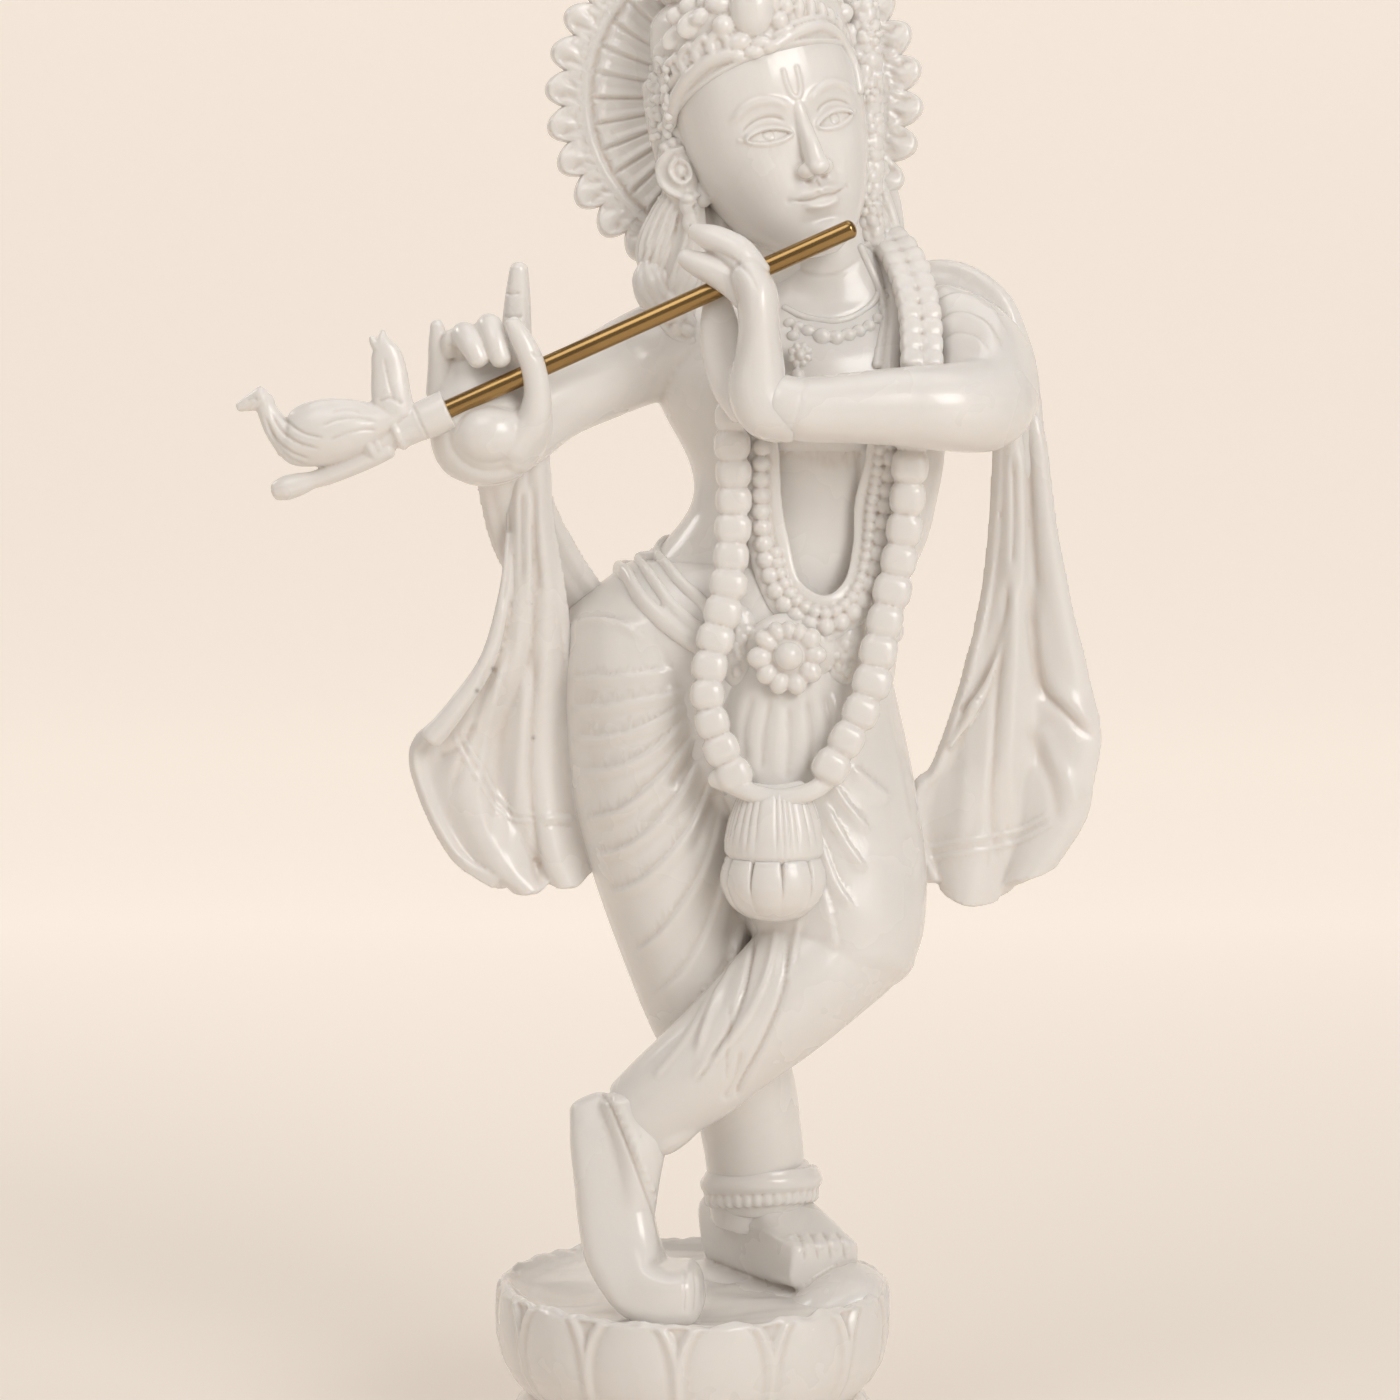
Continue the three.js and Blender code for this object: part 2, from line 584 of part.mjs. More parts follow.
const part = new THREE.Group();
part.add(meshOf("figure", figure(), marbleWhite));
part.add(meshOf("flute_rod", rod(fluteDiameter / 2, 0, fluteLength), polishedBrass));
part.add(meshOf("flute_bird", birdPiece(), marbleWhite));
export default part;
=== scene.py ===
import math
import bpy
import numpy as np
from mathutils import Matrix, Vector


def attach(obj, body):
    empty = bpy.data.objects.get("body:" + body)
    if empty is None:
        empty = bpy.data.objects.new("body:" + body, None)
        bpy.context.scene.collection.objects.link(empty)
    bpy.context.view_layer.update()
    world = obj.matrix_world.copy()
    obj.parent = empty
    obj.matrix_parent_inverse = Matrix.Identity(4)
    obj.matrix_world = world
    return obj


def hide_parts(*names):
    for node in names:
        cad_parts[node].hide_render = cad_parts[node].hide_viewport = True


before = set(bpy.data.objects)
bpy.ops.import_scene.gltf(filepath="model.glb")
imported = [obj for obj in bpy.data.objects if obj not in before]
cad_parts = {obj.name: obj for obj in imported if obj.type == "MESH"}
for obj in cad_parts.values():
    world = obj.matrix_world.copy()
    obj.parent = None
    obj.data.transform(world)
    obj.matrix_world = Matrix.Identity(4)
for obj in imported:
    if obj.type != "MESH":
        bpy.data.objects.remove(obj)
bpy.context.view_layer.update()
print("frame loaded")

square = 0.00038124  # one square of the carver's grid, in metres
cameraSetup = {"place": (0.0027, -1.6, 0.449), "aim": (0.0027, 0.0, 0.296), "lens": 108.4, "sheet": 1400}


# small tools

def deselectAll():
    bpy.ops.object.select_all(action="DESELECT")


def readPoints(piece):
    flat = np.empty(len(piece.data.vertices) * 3, dtype=np.float32)
    piece.data.vertices.foreach_get("co", flat)
    return flat.reshape(-1, 3).astype(float)


def writePoints(piece, points):
    piece.data.vertices.foreach_set("co", np.asarray(points, dtype=np.float32).ravel())
    piece.data.update()


def readNormals(piece):
    flat = np.empty(len(piece.data.vertices) * 3, dtype=np.float32)
    piece.data.vertex_normals.foreach_get("vector", flat)
    return flat.reshape(-1, 3).astype(float)


def ease(x):
    x = np.clip(x, 0, 1)
    return x * x * (3 - 2 * x)


def bell(distance):
    return np.exp(-distance * distance)


def smoothPath(points, t):
    # a curve through all the points, read at t from 0 to 1
    p = np.asarray(points, float)
    spans = len(p) - 1
    q = np.vstack([2 * p[0] - p[1], p, 2 * p[-1] - p[-2]])
    s = np.clip(np.asarray(t, float), 0, 1) * spans
    i = np.minimum(s.astype(int), spans - 1)
    f = (s - i)[:, None]
    a, b, c, d = q[i], q[i + 1], q[i + 2], q[i + 3]
    return 0.5 * (2 * b + (c - a) * f + (2 * a - 5 * b + 4 * c - d) * f ** 2 + (3 * b - a - 3 * c + d)
                  * f ** 3)


def unit(v):
    return v / np.maximum(np.linalg.norm(v, axis=-1, keepdims=True), 1e-9)


def evenPath(points, step):
    # points at an even spacing close to step, and the way the path runs at each
    fine = smoothPath(points, np.linspace(0, 1, 400))
    lengths = np.concatenate([[0], np.cumsum(np.linalg.norm(np.diff(fine, axis=0), axis=1))])
    count = max(2, int(round(lengths[-1] / step)) + 1)
    wanted = np.linspace(0, lengths[-1], count)
    places = np.stack([np.interp(wanted, lengths, fine[:, k]) for k in range(fine.shape[1])], axis=1)
    ways = unit(np.gradient(places, axis=0))
    return places, ways


def onSheet(points):
    # where the points fall on the 1400 by 1400 sheet seen from the camera
    eye = np.array(cameraSetup["place"])
    ahead = unit(np.array(cameraSetup["aim"]) - eye)
    right = np.array([1.0, 0.0, 0.0])
    above = np.cross(right, ahead)
    away = points - eye
    depth = away @ ahead
    half = cameraSetup["sheet"] / 2
    zoom = cameraSetup["lens"] / 36 * cameraSetup["sheet"]
    return np.stack([half + zoom * (away @ right) / depth, half - zoom * (away @ above) / depth], axis=1)


def fromSheet(spot, depth):
    # the place at a depth in squares that is seen at a spot on the sheet, and how large a sheet unit is there
    eye = np.array(cameraSetup["place"]) / square
    ahead = unit(np.array(cameraSetup["aim"]) / square - eye)
    above = np.cross([1.0, 0.0, 0.0], ahead)
    half = cameraSetup["sheet"] / 2
    zoom = cameraSetup["lens"] / 36 * cameraSetup["sheet"]
    way = ahead + np.array([1.0, 0.0, 0.0]) * (spot[0] - half) / zoom + above * (half - spot[1]) / zoom
    away = (depth - eye[1]) / way[1]
    return eye + way * away, away / zoom


def drawn(stations):
    # stations drawn on the sheet as [across, down, depth, half width, half depth, turn] brought into squares
    table = []
    for across, down, depth, *rest in stations:
        place, scale = fromSheet((across, down), depth)
        table.append([*place, *(size * scale for size in rest[:2]), *rest[2:]])
    return table


def landOn(pieces, spot):
    # the nearest place on some pieces that is seen at a spot on the sheet, in squares
    bpy.context.view_layer.update()
    eye = Vector(cameraSetup["place"])
    way = (Vector(fromSheet(spot, 0)[0] * square) - eye).normalized()
    hits = []
    for piece in pieces:
        found, place, normal, face = piece.ray_cast(eye, way)
        if found:
            hits.append(((place - eye).length, np.array(place) / square))
    return min(hits, key=lambda hit: hit[0])[1] if hits else fromSheet(spot, 0)[0]


def studs(name, under, first, marks, proud=0.0):
    # cushions on the pieces beneath: (across, down, half width, half height, turn, depth), the turn clockwise
    frames = []
    for across, down, half, tall, turn, deep in marks:
        c, s = math.cos(math.radians(turn)), math.sin(math.radians(turn))
        place = landOn(under, (across, down)) - np.array([0, deep * proud, 0])
        frames.append((place, np.array([c, 0, -s]) * half, np.array([0, deep, 0.0]),
                       np.array([s, 0, c]) * tall))
    return strew(name, first, frames)


def laid(under, spots, half, deep, sides=20, rings=60, sink=0.0, beyond=0.0):
    # a cord or band laid on the pieces beneath, along spots on the sheet, and a little beyond the last one
    places = [landOn(under, spot) + np.array([0, sink, 0]) for spot in spots]
    if beyond:
        places.append(places[-1] + unit(places[-1] - places[-2]) * beyond)
    return limb([[*place, half, deep] for place in places], sides, rings, (0.6, 0.6), cap=0.04)


def landRound(pieces, degrees, level):
    # the outermost place on some pieces in a direction round the waist, in squares
    bpy.context.view_layer.update()
    way = np.array([math.cos(math.radians(degrees)), math.sin(math.radians(degrees)), 0.0])
    start = (np.array([60, 3, level]) + way * 300) * square
    hits = []
    for piece in pieces:
        found, place, normal, face = piece.ray_cast(Vector(start), Vector(-way))
        if found:
            hits.append(((place - Vector(start)).length, np.array(place) / square))
    return min(hits, key=lambda hit: hit[0])[1]


def softNoise(points, size, seed=0):
    # a smooth seeded bumpiness between about -1 and 1, with bumps of about the given size
    rng = np.random.default_rng(seed)
    total = np.zeros(len(points))
    for _ in range(10):
        way = unit(rng.normal(size=3))
        total += np.sin(points @ way * (2 * math.pi / size) * rng.uniform(0.6, 1.5) + rng.uniform(0, 6.28))
    return total / 3.2


def strokeField(flat, strokes):
    # how far each place is raised by strokes drawn on a flat sheet
    # a stroke is (points, width, height, kind), kind is ridge, groove or fold
    total = np.zeros(len(flat))
    for points, width, height, kind in strokes:
        line = smoothPath(points, np.linspace(0, 1, 7 * len(points)))
        low, high = line.min(0) - 4 * width, line.max(0) + 4 * width
        near = np.where(((flat > low) & (flat < high)).all(axis=1))[0]
        if len(near) == 0:
            continue
        p = flat[near]
        best = np.full(len(p), 1e9)
        side = np.zeros(len(p))
        along = np.zeros(len(p))
        for k in range(len(line) - 1):
            start, way = line[k], line[k + 1] - line[k]
            s = np.clip(((p - start) @ way) / max(way @ way, 1e-12), 0, 1)
            off = p - start - s[:, None] * way
            gap = np.hypot(off[:, 0], off[:, 1])
            closer = gap < best
            best[closer] = gap[closer]
            side[closer] = np.sign(way[0] * off[:, 1] - way[1] * off[:, 0])[closer]
            along[closer] = ((k + s) / (len(line) - 1))[closer]
        fade = ease(along / 0.18) * ease((1 - along) / 0.18)
        across = best * side / width
        if kind == "ridge":
            shape = bell(across)
        elif kind == "groove":
            shape = -bell(across)
        elif kind == "hard":
            shape = bell(across)
            fade = 1
        else:
            shape = np.where(across > 0, bell(across / 2.6), bell(across / 0.45))
        total[near] += height * shape * fade
    return total


def carveStrokes(piece, strokes, behind=False):
    # raises strokes drawn on the front sheet along the surface's own normals; heights in millimetres
    points, normals = readPoints(piece), readNormals(piece)
    eye = np.array(cameraSetup["place"])
    towards = (unit(eye - points) * normals).sum(axis=1)
    if behind:
        towards = -towards
    weight = ease(towards * 2.2)
    writePoints(piece, points + normals * (strokeField(onSheet(points), strokes) * weight * 0.001)[:, None])


def carveLumps(piece, lumps):
    # raises cushions drawn on the front sheet: across, down, half width, half height, turn, height in
    # millimetres
    points, normals = readPoints(piece), readNormals(piece)
    eye = np.array(cameraSetup["place"])
    weight = ease((unit(eye - points) * normals).sum(axis=1) * 2.2)
    sheet = onSheet(points)
    raised, sunk = np.zeros(len(points)), np.zeros(len(points))
    for across, down, half, tall, turn, height in lumps:
        c, s = math.cos(math.radians(turn)), math.sin(math.radians(turn))
        a, b = sheet[:, 0] - across, sheet[:, 1] - down
        near = np.where(np.hypot(a, b) < max(half, tall))[0]
        a, b = a[near], b[near]
        reach = np.hypot((a * c + b * s) / half, (b * c - a * s) / tall)
        shape = np.maximum(1 - reach ** 2.4, 0) ** 0.7 * height
        if height > 0:
            raised[near] = np.maximum(raised[near], shape)
        else:
            sunk[near] += shape
    writePoints(piece, points + normals * ((raised + sunk) * weight * 0.001)[:, None])


def limb(stations, sides=32, rings=48, ends=(0.6, 0.6), facing=(0, 1, 0), level=False, section=None,
         cap=0.12):
    # a ball primitive drawn out along stations [x, y, z, half width, half depth, turn] in squares
    bpy.ops.mesh.primitive_uv_sphere_add(segments=sides, ring_count=rings)
    piece = bpy.context.object
    ball = readPoints(piece)
    run = np.arccos(np.clip(ball[:, 2], -1, 1)) / math.pi
    angle = -np.arctan2(ball[:, 1], ball[:, 0])
    table = np.array([[*s[:4], s[4] if len(s) > 4 else s[3], s[5] if len(s) > 5 else 0] for s in stations],
                     float)
    along = np.clip((run - cap) / (1 - 2 * cap), 0, 1)
    early, late = np.clip(run / cap, 0, 1), np.clip((1 - run) / cap, 0, 1)
    share = np.sin(early * math.pi / 2) * np.sin(late * math.pi / 2)
    push = ends[1] * np.cos(late * math.pi / 2) - ends[0] * np.cos(early * math.pi / 2)
    here = smoothPath(table, along)
    ahead = smoothPath(table, along + 0.01) - smoothPath(table, along - 0.01)
    way = np.tile([0.0, 0.0, 1.0], (len(ball), 1)) if level else unit(ahead[:, :3])
    through = np.tile(np.asarray(facing, float), (len(ball), 1))
    through = unit(through - way * (through * way).sum(axis=1, keepdims=True))
    side = np.cross(through, way)
    turn = np.radians(here[:, 5])[:, None]
    c, s = np.cos(turn), np.sin(turn)
    through, side = through * c + side * -s, side * c + through * s
    across, deep = (np.cos(angle), np.sin(angle)) if section is None else section(angle, along)
    points = here[:, :3] + way * (push * np.minimum(here[:, 3], here[:, 4]))[:, None]
    points = points + side * (across * here[:, 3] * share)[:, None]
    points = points + through * (deep * here[:, 4] * share)[:, None]
    writePoints(piece, points * square)
    return piece


def egg(place, radii, sides=32, rings=24, square4=0):
    # a ball primitive at its place; square4 above 2 makes it a cushion
    bpy.ops.mesh.primitive_uv_sphere_add(segments=sides, ring_count=rings)
    piece = bpy.context.object
    ball = readPoints(piece)
    if square4:
        ball = ball / (np.abs(ball) ** square4).sum(axis=1, keepdims=True) ** (1 / square4)
    writePoints(piece, (ball * np.asarray(radii) + np.asarray(place)) * square)
    return piece


def unitBall(sides, rings, power=0):
    # one square in radius, to be strewn
    return egg((0, 0, 0), (1, 1, 1), sides, rings, power)


def fluted(count, depth, twist=0.0):
    # an oval section made of rounded strands with sharp grooves between them
    def section(angle, along):
        wave = 1 + depth * (np.abs(np.cos(count * angle / 2 + twist * along)) - 0.6)
        return np.cos(angle) * wave, np.sin(angle) * wave
    return section


def turned(place, profile, sides=48, rings=48, section=None):
    # a ball primitive drawn to a turned profile of (radius, height) from the lowest point to the highest
    bpy.ops.mesh.primitive_uv_sphere_add(segments=sides, ring_count=rings)
    piece = bpy.context.object
    ball = readPoints(piece)
    run = 1 - np.arccos(np.clip(ball[:, 2], -1, 1)) / math.pi
    angle = np.arctan2(ball[:, 1], ball[:, 0])
    line = smoothPath(profile, run)
    radius = np.maximum(line[:, 0], 0)
    if section is not None:
        radius = radius * section(angle, run)
    points = np.stack([radius * np.cos(angle), radius * np.sin(angle), line[:, 1]], axis=1)
    writePoints(piece, (points + np.asarray(place)) * square)
    return piece


def strew(name, first, frames):
    # copies of one carved shape; each frame is (place, across, through, along) in squares
    shape = readPoints(first) / square
    parts = []
    for place, across, through, along in frames:
        if np.dot(np.cross(across, through), along) < 0:
            across = -across
        piece = first.copy()
        piece.data = first.data.copy()
        bpy.context.collection.objects.link(piece)
        points = shape[:, :1] * across + shape[:, 1:2] * through + shape[:, 2:] * along + place
        writePoints(piece, points * square)
        parts.append(piece)
    bpy.data.objects.remove(first)
    return joinAll(name, parts)


def beadFrames(route, step, width, depth, length, out=(0, -1, 0)):
    # frames for beads set along a route, each standing out of the surface
    places, ways = evenPath(route, step)
    frames = []
    for place, way in zip(places, ways):
        through = np.asarray(out, float)
        through = unit(through - way * np.dot(through, way))
        frames.append((place, np.cross(way, through) * width, through * depth, way * length))
    return frames


def turnAbout(axis, degrees):
    return np.array(Matrix.Rotation(math.radians(degrees), 3, axis))


headMiddle = np.array([76.0, -22.0, 1338.0])
headTurn = turnAbout("Y", -15) @ turnAbout("Z", 18) @ turnAbout("X", 4)


def onHead(piece):
    # takes a piece from the head's own upright frame to its place
    points = readPoints(piece) / square
    writePoints(piece, (points @ headTurn.T + headMiddle) * square)
    return piece


def joinAll(name, parts):
    deselectAll()
    for part in parts:
        part.select_set(True)
    bpy.context.view_layer.objects.active = parts[0]
    if len(parts) > 1:
        bpy.ops.object.join()
    parts[0].name = name
    parts[0].data.name = name
    return parts[0]


def useModifiers(piece):
    deselectAll()
    piece.select_set(True)
    bpy.context.view_layer.objects.active = piece
    for modifier in list(piece.modifiers):
        bpy.ops.object.modifier_apply(modifier=modifier.name)


def fuse(name, parts, voxel, relax=4):
    # runs the shapes together into one skin, as carved from one block; voxel in millimetres
    piece = joinAll(name, parts)
    remesh = piece.modifiers.new("Remesh", "REMESH")
    remesh.mode = "VOXEL"
    remesh.voxel_size = voxel * 0.001
    if relax:
        smooth = piece.modifiers.new("Smooth", "SMOOTH")
        smooth.iterations = relax
        smooth.factor = 0.5
    useModifiers(piece)
    return piece


# the most triangles each piece is set down with, in thousands
mostTriangles = {
    "body": 76, "legs": 76, "head": 106, "crown": 106, "plume": 48, "hair": 76, "temple": 6, "leftHand": 30,
    "rightHand": 34, "raisedFoot": 20, "flatFoot": 25, "anklet": 16, "leftScarf": 34, "rightScarf": 34,
    "sash": 30,
    "belt": 20, "garland": 48, "necklaces": 42, "flower": 24, "tassel": 40, "plinth": 64, "bird": 28,
}


def thin(piece):
    piece.data.calc_loop_triangles()
    share = 1000 * mostTriangles.get(piece.name, 30) / len(piece.data.loop_triangles)
    if share < 1:
        fewer = piece.modifiers.new("Decimate", "DECIMATE")
        fewer.ratio = share
        useModifiers(piece)


def setDown(piece, material, smoothAngle=None):
    deselectAll()
    thin(piece)
    piece.select_set(True)
    bpy.context.view_layer.objects.active = piece
    if smoothAngle is None:
        bpy.ops.object.shade_smooth()
    else:
        bpy.ops.object.shade_smooth_by_angle(angle=math.radians(smoothAngle))
    piece.data.materials.clear()
    piece.data.materials.append(material)
    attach(piece, "root")
    deselectAll()
    print(piece.name, len(piece.data.polygons), "faces")
    return piece


# finishes

# shade is not the stone's own colour: it is painted shade, mixed into creases and hollows
marbleFinish = {
    "white": (0.80, 0.772, 0.742, 1), "shade": (0.52, 0.42, 0.33, 1), "vein": (0.60, 0.58, 0.56, 1),
    "veinStrength": 0.055, "stain": (0.30, 0.27, 0.25, 1), "roughness": 0.22, "subsurface": 0.2, "coat": 0.35,
}
brassFinish = {"light": (0.37, 0.235, 0.095, 1), "dark": (0.25, 0.15, 0.058, 1), "roughness": 0.22}


def addNode(tree, kind, **values):
    node = tree.nodes.new(kind)
    for key, value in values.items():
        if key in node.inputs:
            node.inputs[key].default_value = value
        else:
            setattr(node, key, value)
    return node


def makeMarble():
    material = bpy.data.materials.new("whiteMarble")
    material.use_nodes = True
    tree = material.node_tree
    shader = tree.nodes["Principled BSDF"]
    place = addNode(tree, "ShaderNodeTexCoord")
    cloud = addNode(tree, "ShaderNodeTexNoise", Scale=14.0, Detail=4.0, Roughness=0.55)
    warp = addNode(tree, "ShaderNodeTexNoise", Scale=9.0, Detail=5.0, Roughness=0.6, Distortion=1.2)
    veins = addNode(tree, "ShaderNodeValToRGB")
    veins.color_ramp.elements[0].position = 0.455
    veins.color_ramp.elements[0].color = (0, 0, 0, 1)
    veins.color_ramp.elements[1].position = 0.545
    veins.color_ramp.elements[1].color = (0, 0, 0, 1)
    middle = veins.color_ramp.elements.new(0.5)
    middle.color = (1, 1, 1, 1)
    tree.links.new(place.outputs["Object"], cloud.inputs["Vector"])
    tree.links.new(place.outputs["Object"], warp.inputs["Vector"])
    tree.links.new(warp.outputs["Fac"], veins.inputs["Fac"])
    faint = addNode(tree, "ShaderNodeMath", operation="MULTIPLY")
    tree.links.new(veins.outputs["Color"], faint.inputs[0])
    tree.links.new(cloud.outputs["Fac"], faint.inputs[1])
    strength = addNode(tree, "ShaderNodeMath", operation="MULTIPLY")
    strength.inputs[1].default_value = marbleFinish["veinStrength"] * 2
    tree.links.new(faint.outputs[0], strength.inputs[0])
    # painted shade: where the surface is hollow (low pointiness) the colour is mixed towards the darker shade
    # colour, standing in for the shade that falls in creases and recesses
    hollows = addNode(tree, "ShaderNodeNewGeometry")
    paintedCreaseShade = addNode(tree, "ShaderNodeMapRange")
    paintedCreaseShade.inputs["From Min"].default_value = 0.40
    paintedCreaseShade.inputs["From Max"].default_value = 0.5
    paintedCreaseShade.inputs["To Min"].default_value = 0.8
    paintedCreaseShade.inputs["To Max"].default_value = 0.0
    tree.links.new(hollows.outputs["Pointiness"], paintedCreaseShade.inputs["Value"])
    tint = addNode(tree, "ShaderNodeMix", data_type="RGBA")
    tint.inputs[6].default_value = marbleFinish["white"]
    tint.inputs[7].default_value = marbleFinish["shade"]
    tree.links.new(paintedCreaseShade.outputs["Result"], tint.inputs["Factor"])
    vein = addNode(tree, "ShaderNodeMix", data_type="RGBA")
    tree.links.new(tint.outputs[2], vein.inputs[6])
    vein.inputs[7].default_value = marbleFinish["vein"]
    tree.links.new(strength.outputs[0], vein.inputs["Factor"])
    stain = addNode(tree, "ShaderNodeAttribute", attribute_name="stain")
    stained = addNode(tree, "ShaderNodeMix", data_type="RGBA")
    tree.links.new(vein.outputs[2], stained.inputs[6])
    stained.inputs[7].default_value = marbleFinish["stain"]
    tree.links.new(stain.outputs["Fac"], stained.inputs["Factor"])
    tree.links.new(stained.outputs[2], shader.inputs["Base Color"])
    polish = addNode(tree, "ShaderNodeMapRange")
    polish.inputs["To Min"].default_value = marbleFinish["roughness"] - 0.05
    polish.inputs["To Max"].default_value = marbleFinish["roughness"] + 0.14
    tree.links.new(cloud.outputs["Fac"], polish.inputs["Value"])
    tree.links.new(polish.outputs["Result"], shader.inputs["Roughness"])
    grain = addNode(tree, "ShaderNodeTexNoise", Scale=260.0, Detail=3.0, Roughness=0.6)
    bump = addNode(tree, "ShaderNodeBump", Strength=0.12, Distance=0.0004)
    tree.links.new(place.outputs["Object"], grain.inputs["Vector"])
    tree.links.new(grain.outputs["Fac"], bump.inputs["Height"])
    tree.links.new(bump.outputs["Normal"], shader.inputs["Normal"])
    shader.inputs["Subsurface Weight"].default_value = marbleFinish["subsurface"]
    shader.inputs["Subsurface Radius"].default_value = (1.0, 0.72, 0.5)
    shader.inputs["Subsurface Scale"].default_value = 0.004
    shader.inputs["Coat Weight"].default_value = marbleFinish["coat"]
    shader.inputs["Coat Roughness"].default_value = 0.12
    shader.inputs["IOR"].default_value = 1.48
    return material


def makeBrass():
    material = bpy.data.materials.new("polishedBrass")
    material.use_nodes = True
    tree = material.node_tree
    shader = tree.nodes["Principled BSDF"]
    place = addNode(tree, "ShaderNodeTexCoord")
    cloud = addNode(tree, "ShaderNodeTexNoise", Scale=40.0, Detail=3.0)
    tint = addNode(tree, "ShaderNodeMix", data_type="RGBA")
    tint.inputs[6].default_value = brassFinish["dark"]
    tint.inputs[7].default_value = brassFinish["light"]
    spread = addNode(tree, "ShaderNodeMapRange")
    spread.inputs["From Min"].default_value = 0.2
    spread.inputs["From Max"].default_value = 0.6
    spread.inputs["To Min"].default_value = 0.5
    tree.links.new(place.outputs["Object"], cloud.inputs["Vector"])
    tree.links.new(cloud.outputs["Fac"], spread.inputs["Value"])
    tree.links.new(spread.outputs["Result"], tint.inputs["Factor"])
    tree.links.new(tint.outputs[2], shader.inputs["Base Color"])
    scratch = addNode(tree, "ShaderNodeTexNoise", Scale=500.0, Detail=2.0)
    bump = addNode(tree, "ShaderNodeBump", Strength=0.015, Distance=0.0003)
    tree.links.new(place.outputs["Object"], scratch.inputs["Vector"])
    tree.links.new(scratch.outputs["Fac"], bump.inputs["Height"])
    tree.links.new(bump.outputs["Normal"], shader.inputs["Normal"])
    shader.inputs["Metallic"].default_value = 1.0
    shader.inputs["Roughness"].default_value = brassFinish["roughness"]
    return material


marble = makeMarble()
brass = makeBrass()
print("finishes made")


# body

bodyForm = {
    # middle and half sizes of the pads of the chest and the left shoulder
    "pads": [((112, -52, 1040), (88, 26, 60)), ((246, 6, 1140), (56, 54, 50))],
    "torso": [
        [40, 2, 705, 140, 82], [36, 5, 800, 166, 98], [62, 2, 876, 147, 90], [104, 0, 938, 130, 80],
        [121, 0, 976, 122, 78], [123, 0, 1015, 127, 82], [110, 0, 1070, 142, 88], [108, 2, 1112, 146, 86],
        [118, 6, 1146, 128, 74], [132, 8, 1176, 88, 60], [131, 3, 1216, 56, 52], [118, -6, 1262, 52, 50],
    ],
    "leftArm": [
        [205, 10, 1130, 50, 52], [246, 6, 1140, 52, 50], [276, -25, 1120, 54, 52], [286, -70, 1092, 51, 50],
        [282, -108, 1074, 46, 46], [240, -138, 1072, 44, 42], [199, -150, 1073, 38, 38],
        [150, -160, 1072, 34, 34],
        [105, -166, 1071, 32, 31], [78, -166, 1078, 29, 28],
    ],
    "rightArm": [
        [60, 10, 1150, 64, 56], [10, 2, 1140, 54, 52], [-50, -8, 1118, 45, 47], [-91, -30, 1099, 41, 43],
        [-135, -60, 1078, 39, 41], [-174, -86, 1050, 42, 42], [-190, -106, 1036, 44, 34],
    ],
    "voxel": 1.0,
    "strokes": [
        ([(784, 312), (806, 318), (836, 318), (862, 310), (884, 296)], 2.2, -0.7, "ridge"),
        ([(788, 262), (812, 274), (840, 272), (866, 256)], 3.4, -0.6, "ridge"),
        ([(930, 286), (962, 280), (990, 292), (1012, 320)], 4.0, 2.0, "fold"),
        ([(930, 306), (960, 297), (986, 308), (1008, 338)], 4.0, 2.0, "fold"),
        ([(932, 332), (956, 316), (982, 324), (1002, 352)], 4.0, 1.8, "fold"),
        ([(936, 350), (956, 336), (976, 340), (990, 356)], 3.4, 1.2, "fold"),
        ([(786, 444), (796, 420), (802, 396), (806, 374)], 2.2, -0.35, "ridge"),
    ],
    # the smooth hollow inside the necklace: middle, half width, where its round bottom starts and ends
    "hollow": (819, 45, 525, 604),
}


def sinkBelly(body):
    middle, half, start, bottom = bodyForm["hollow"]
    points, normals = readPoints(body), readNormals(body)
    sheet = onSheet(points)
    down = np.maximum(sheet[:, 1] - start, 0) / (bottom - start)
    reach = np.hypot((sheet[:, 0] - middle) / half, down)
    inside = (normals[:, 1] < 0) * (sheet[:, 1] > 452) * (points[:, 1] > -128 * square)
    depth = -1.7 * ease((1 - reach) / 0.09) + 0.7 * bell((reach - 1.1) / 0.08)
    writePoints(body, points + normals * (depth * inside * 0.001)[:, None])


def makeBody():
    parts = [
        limb(bodyForm["torso"], sides=64, rings=72, ends=(0, 0), level=True, cap=0.04),
        limb(bodyForm["leftArm"], sides=40, rings=72, ends=(0, 0.4), facing=(0, 0, 1), cap=0.05),
        limb(bodyForm["rightArm"], sides=40, rings=64, ends=(0, 0.4), facing=(0, 0, 1), cap=0.05),
        *(egg(middle, size) for middle, size in bodyForm["pads"]),
    ]
    body = fuse("body", parts, bodyForm["voxel"], 8)
    sinkBelly(body)
    carveStrokes(body, bodyForm["strokes"])
    return setDown(body, marble)


# legs and the wrapped cloth on them

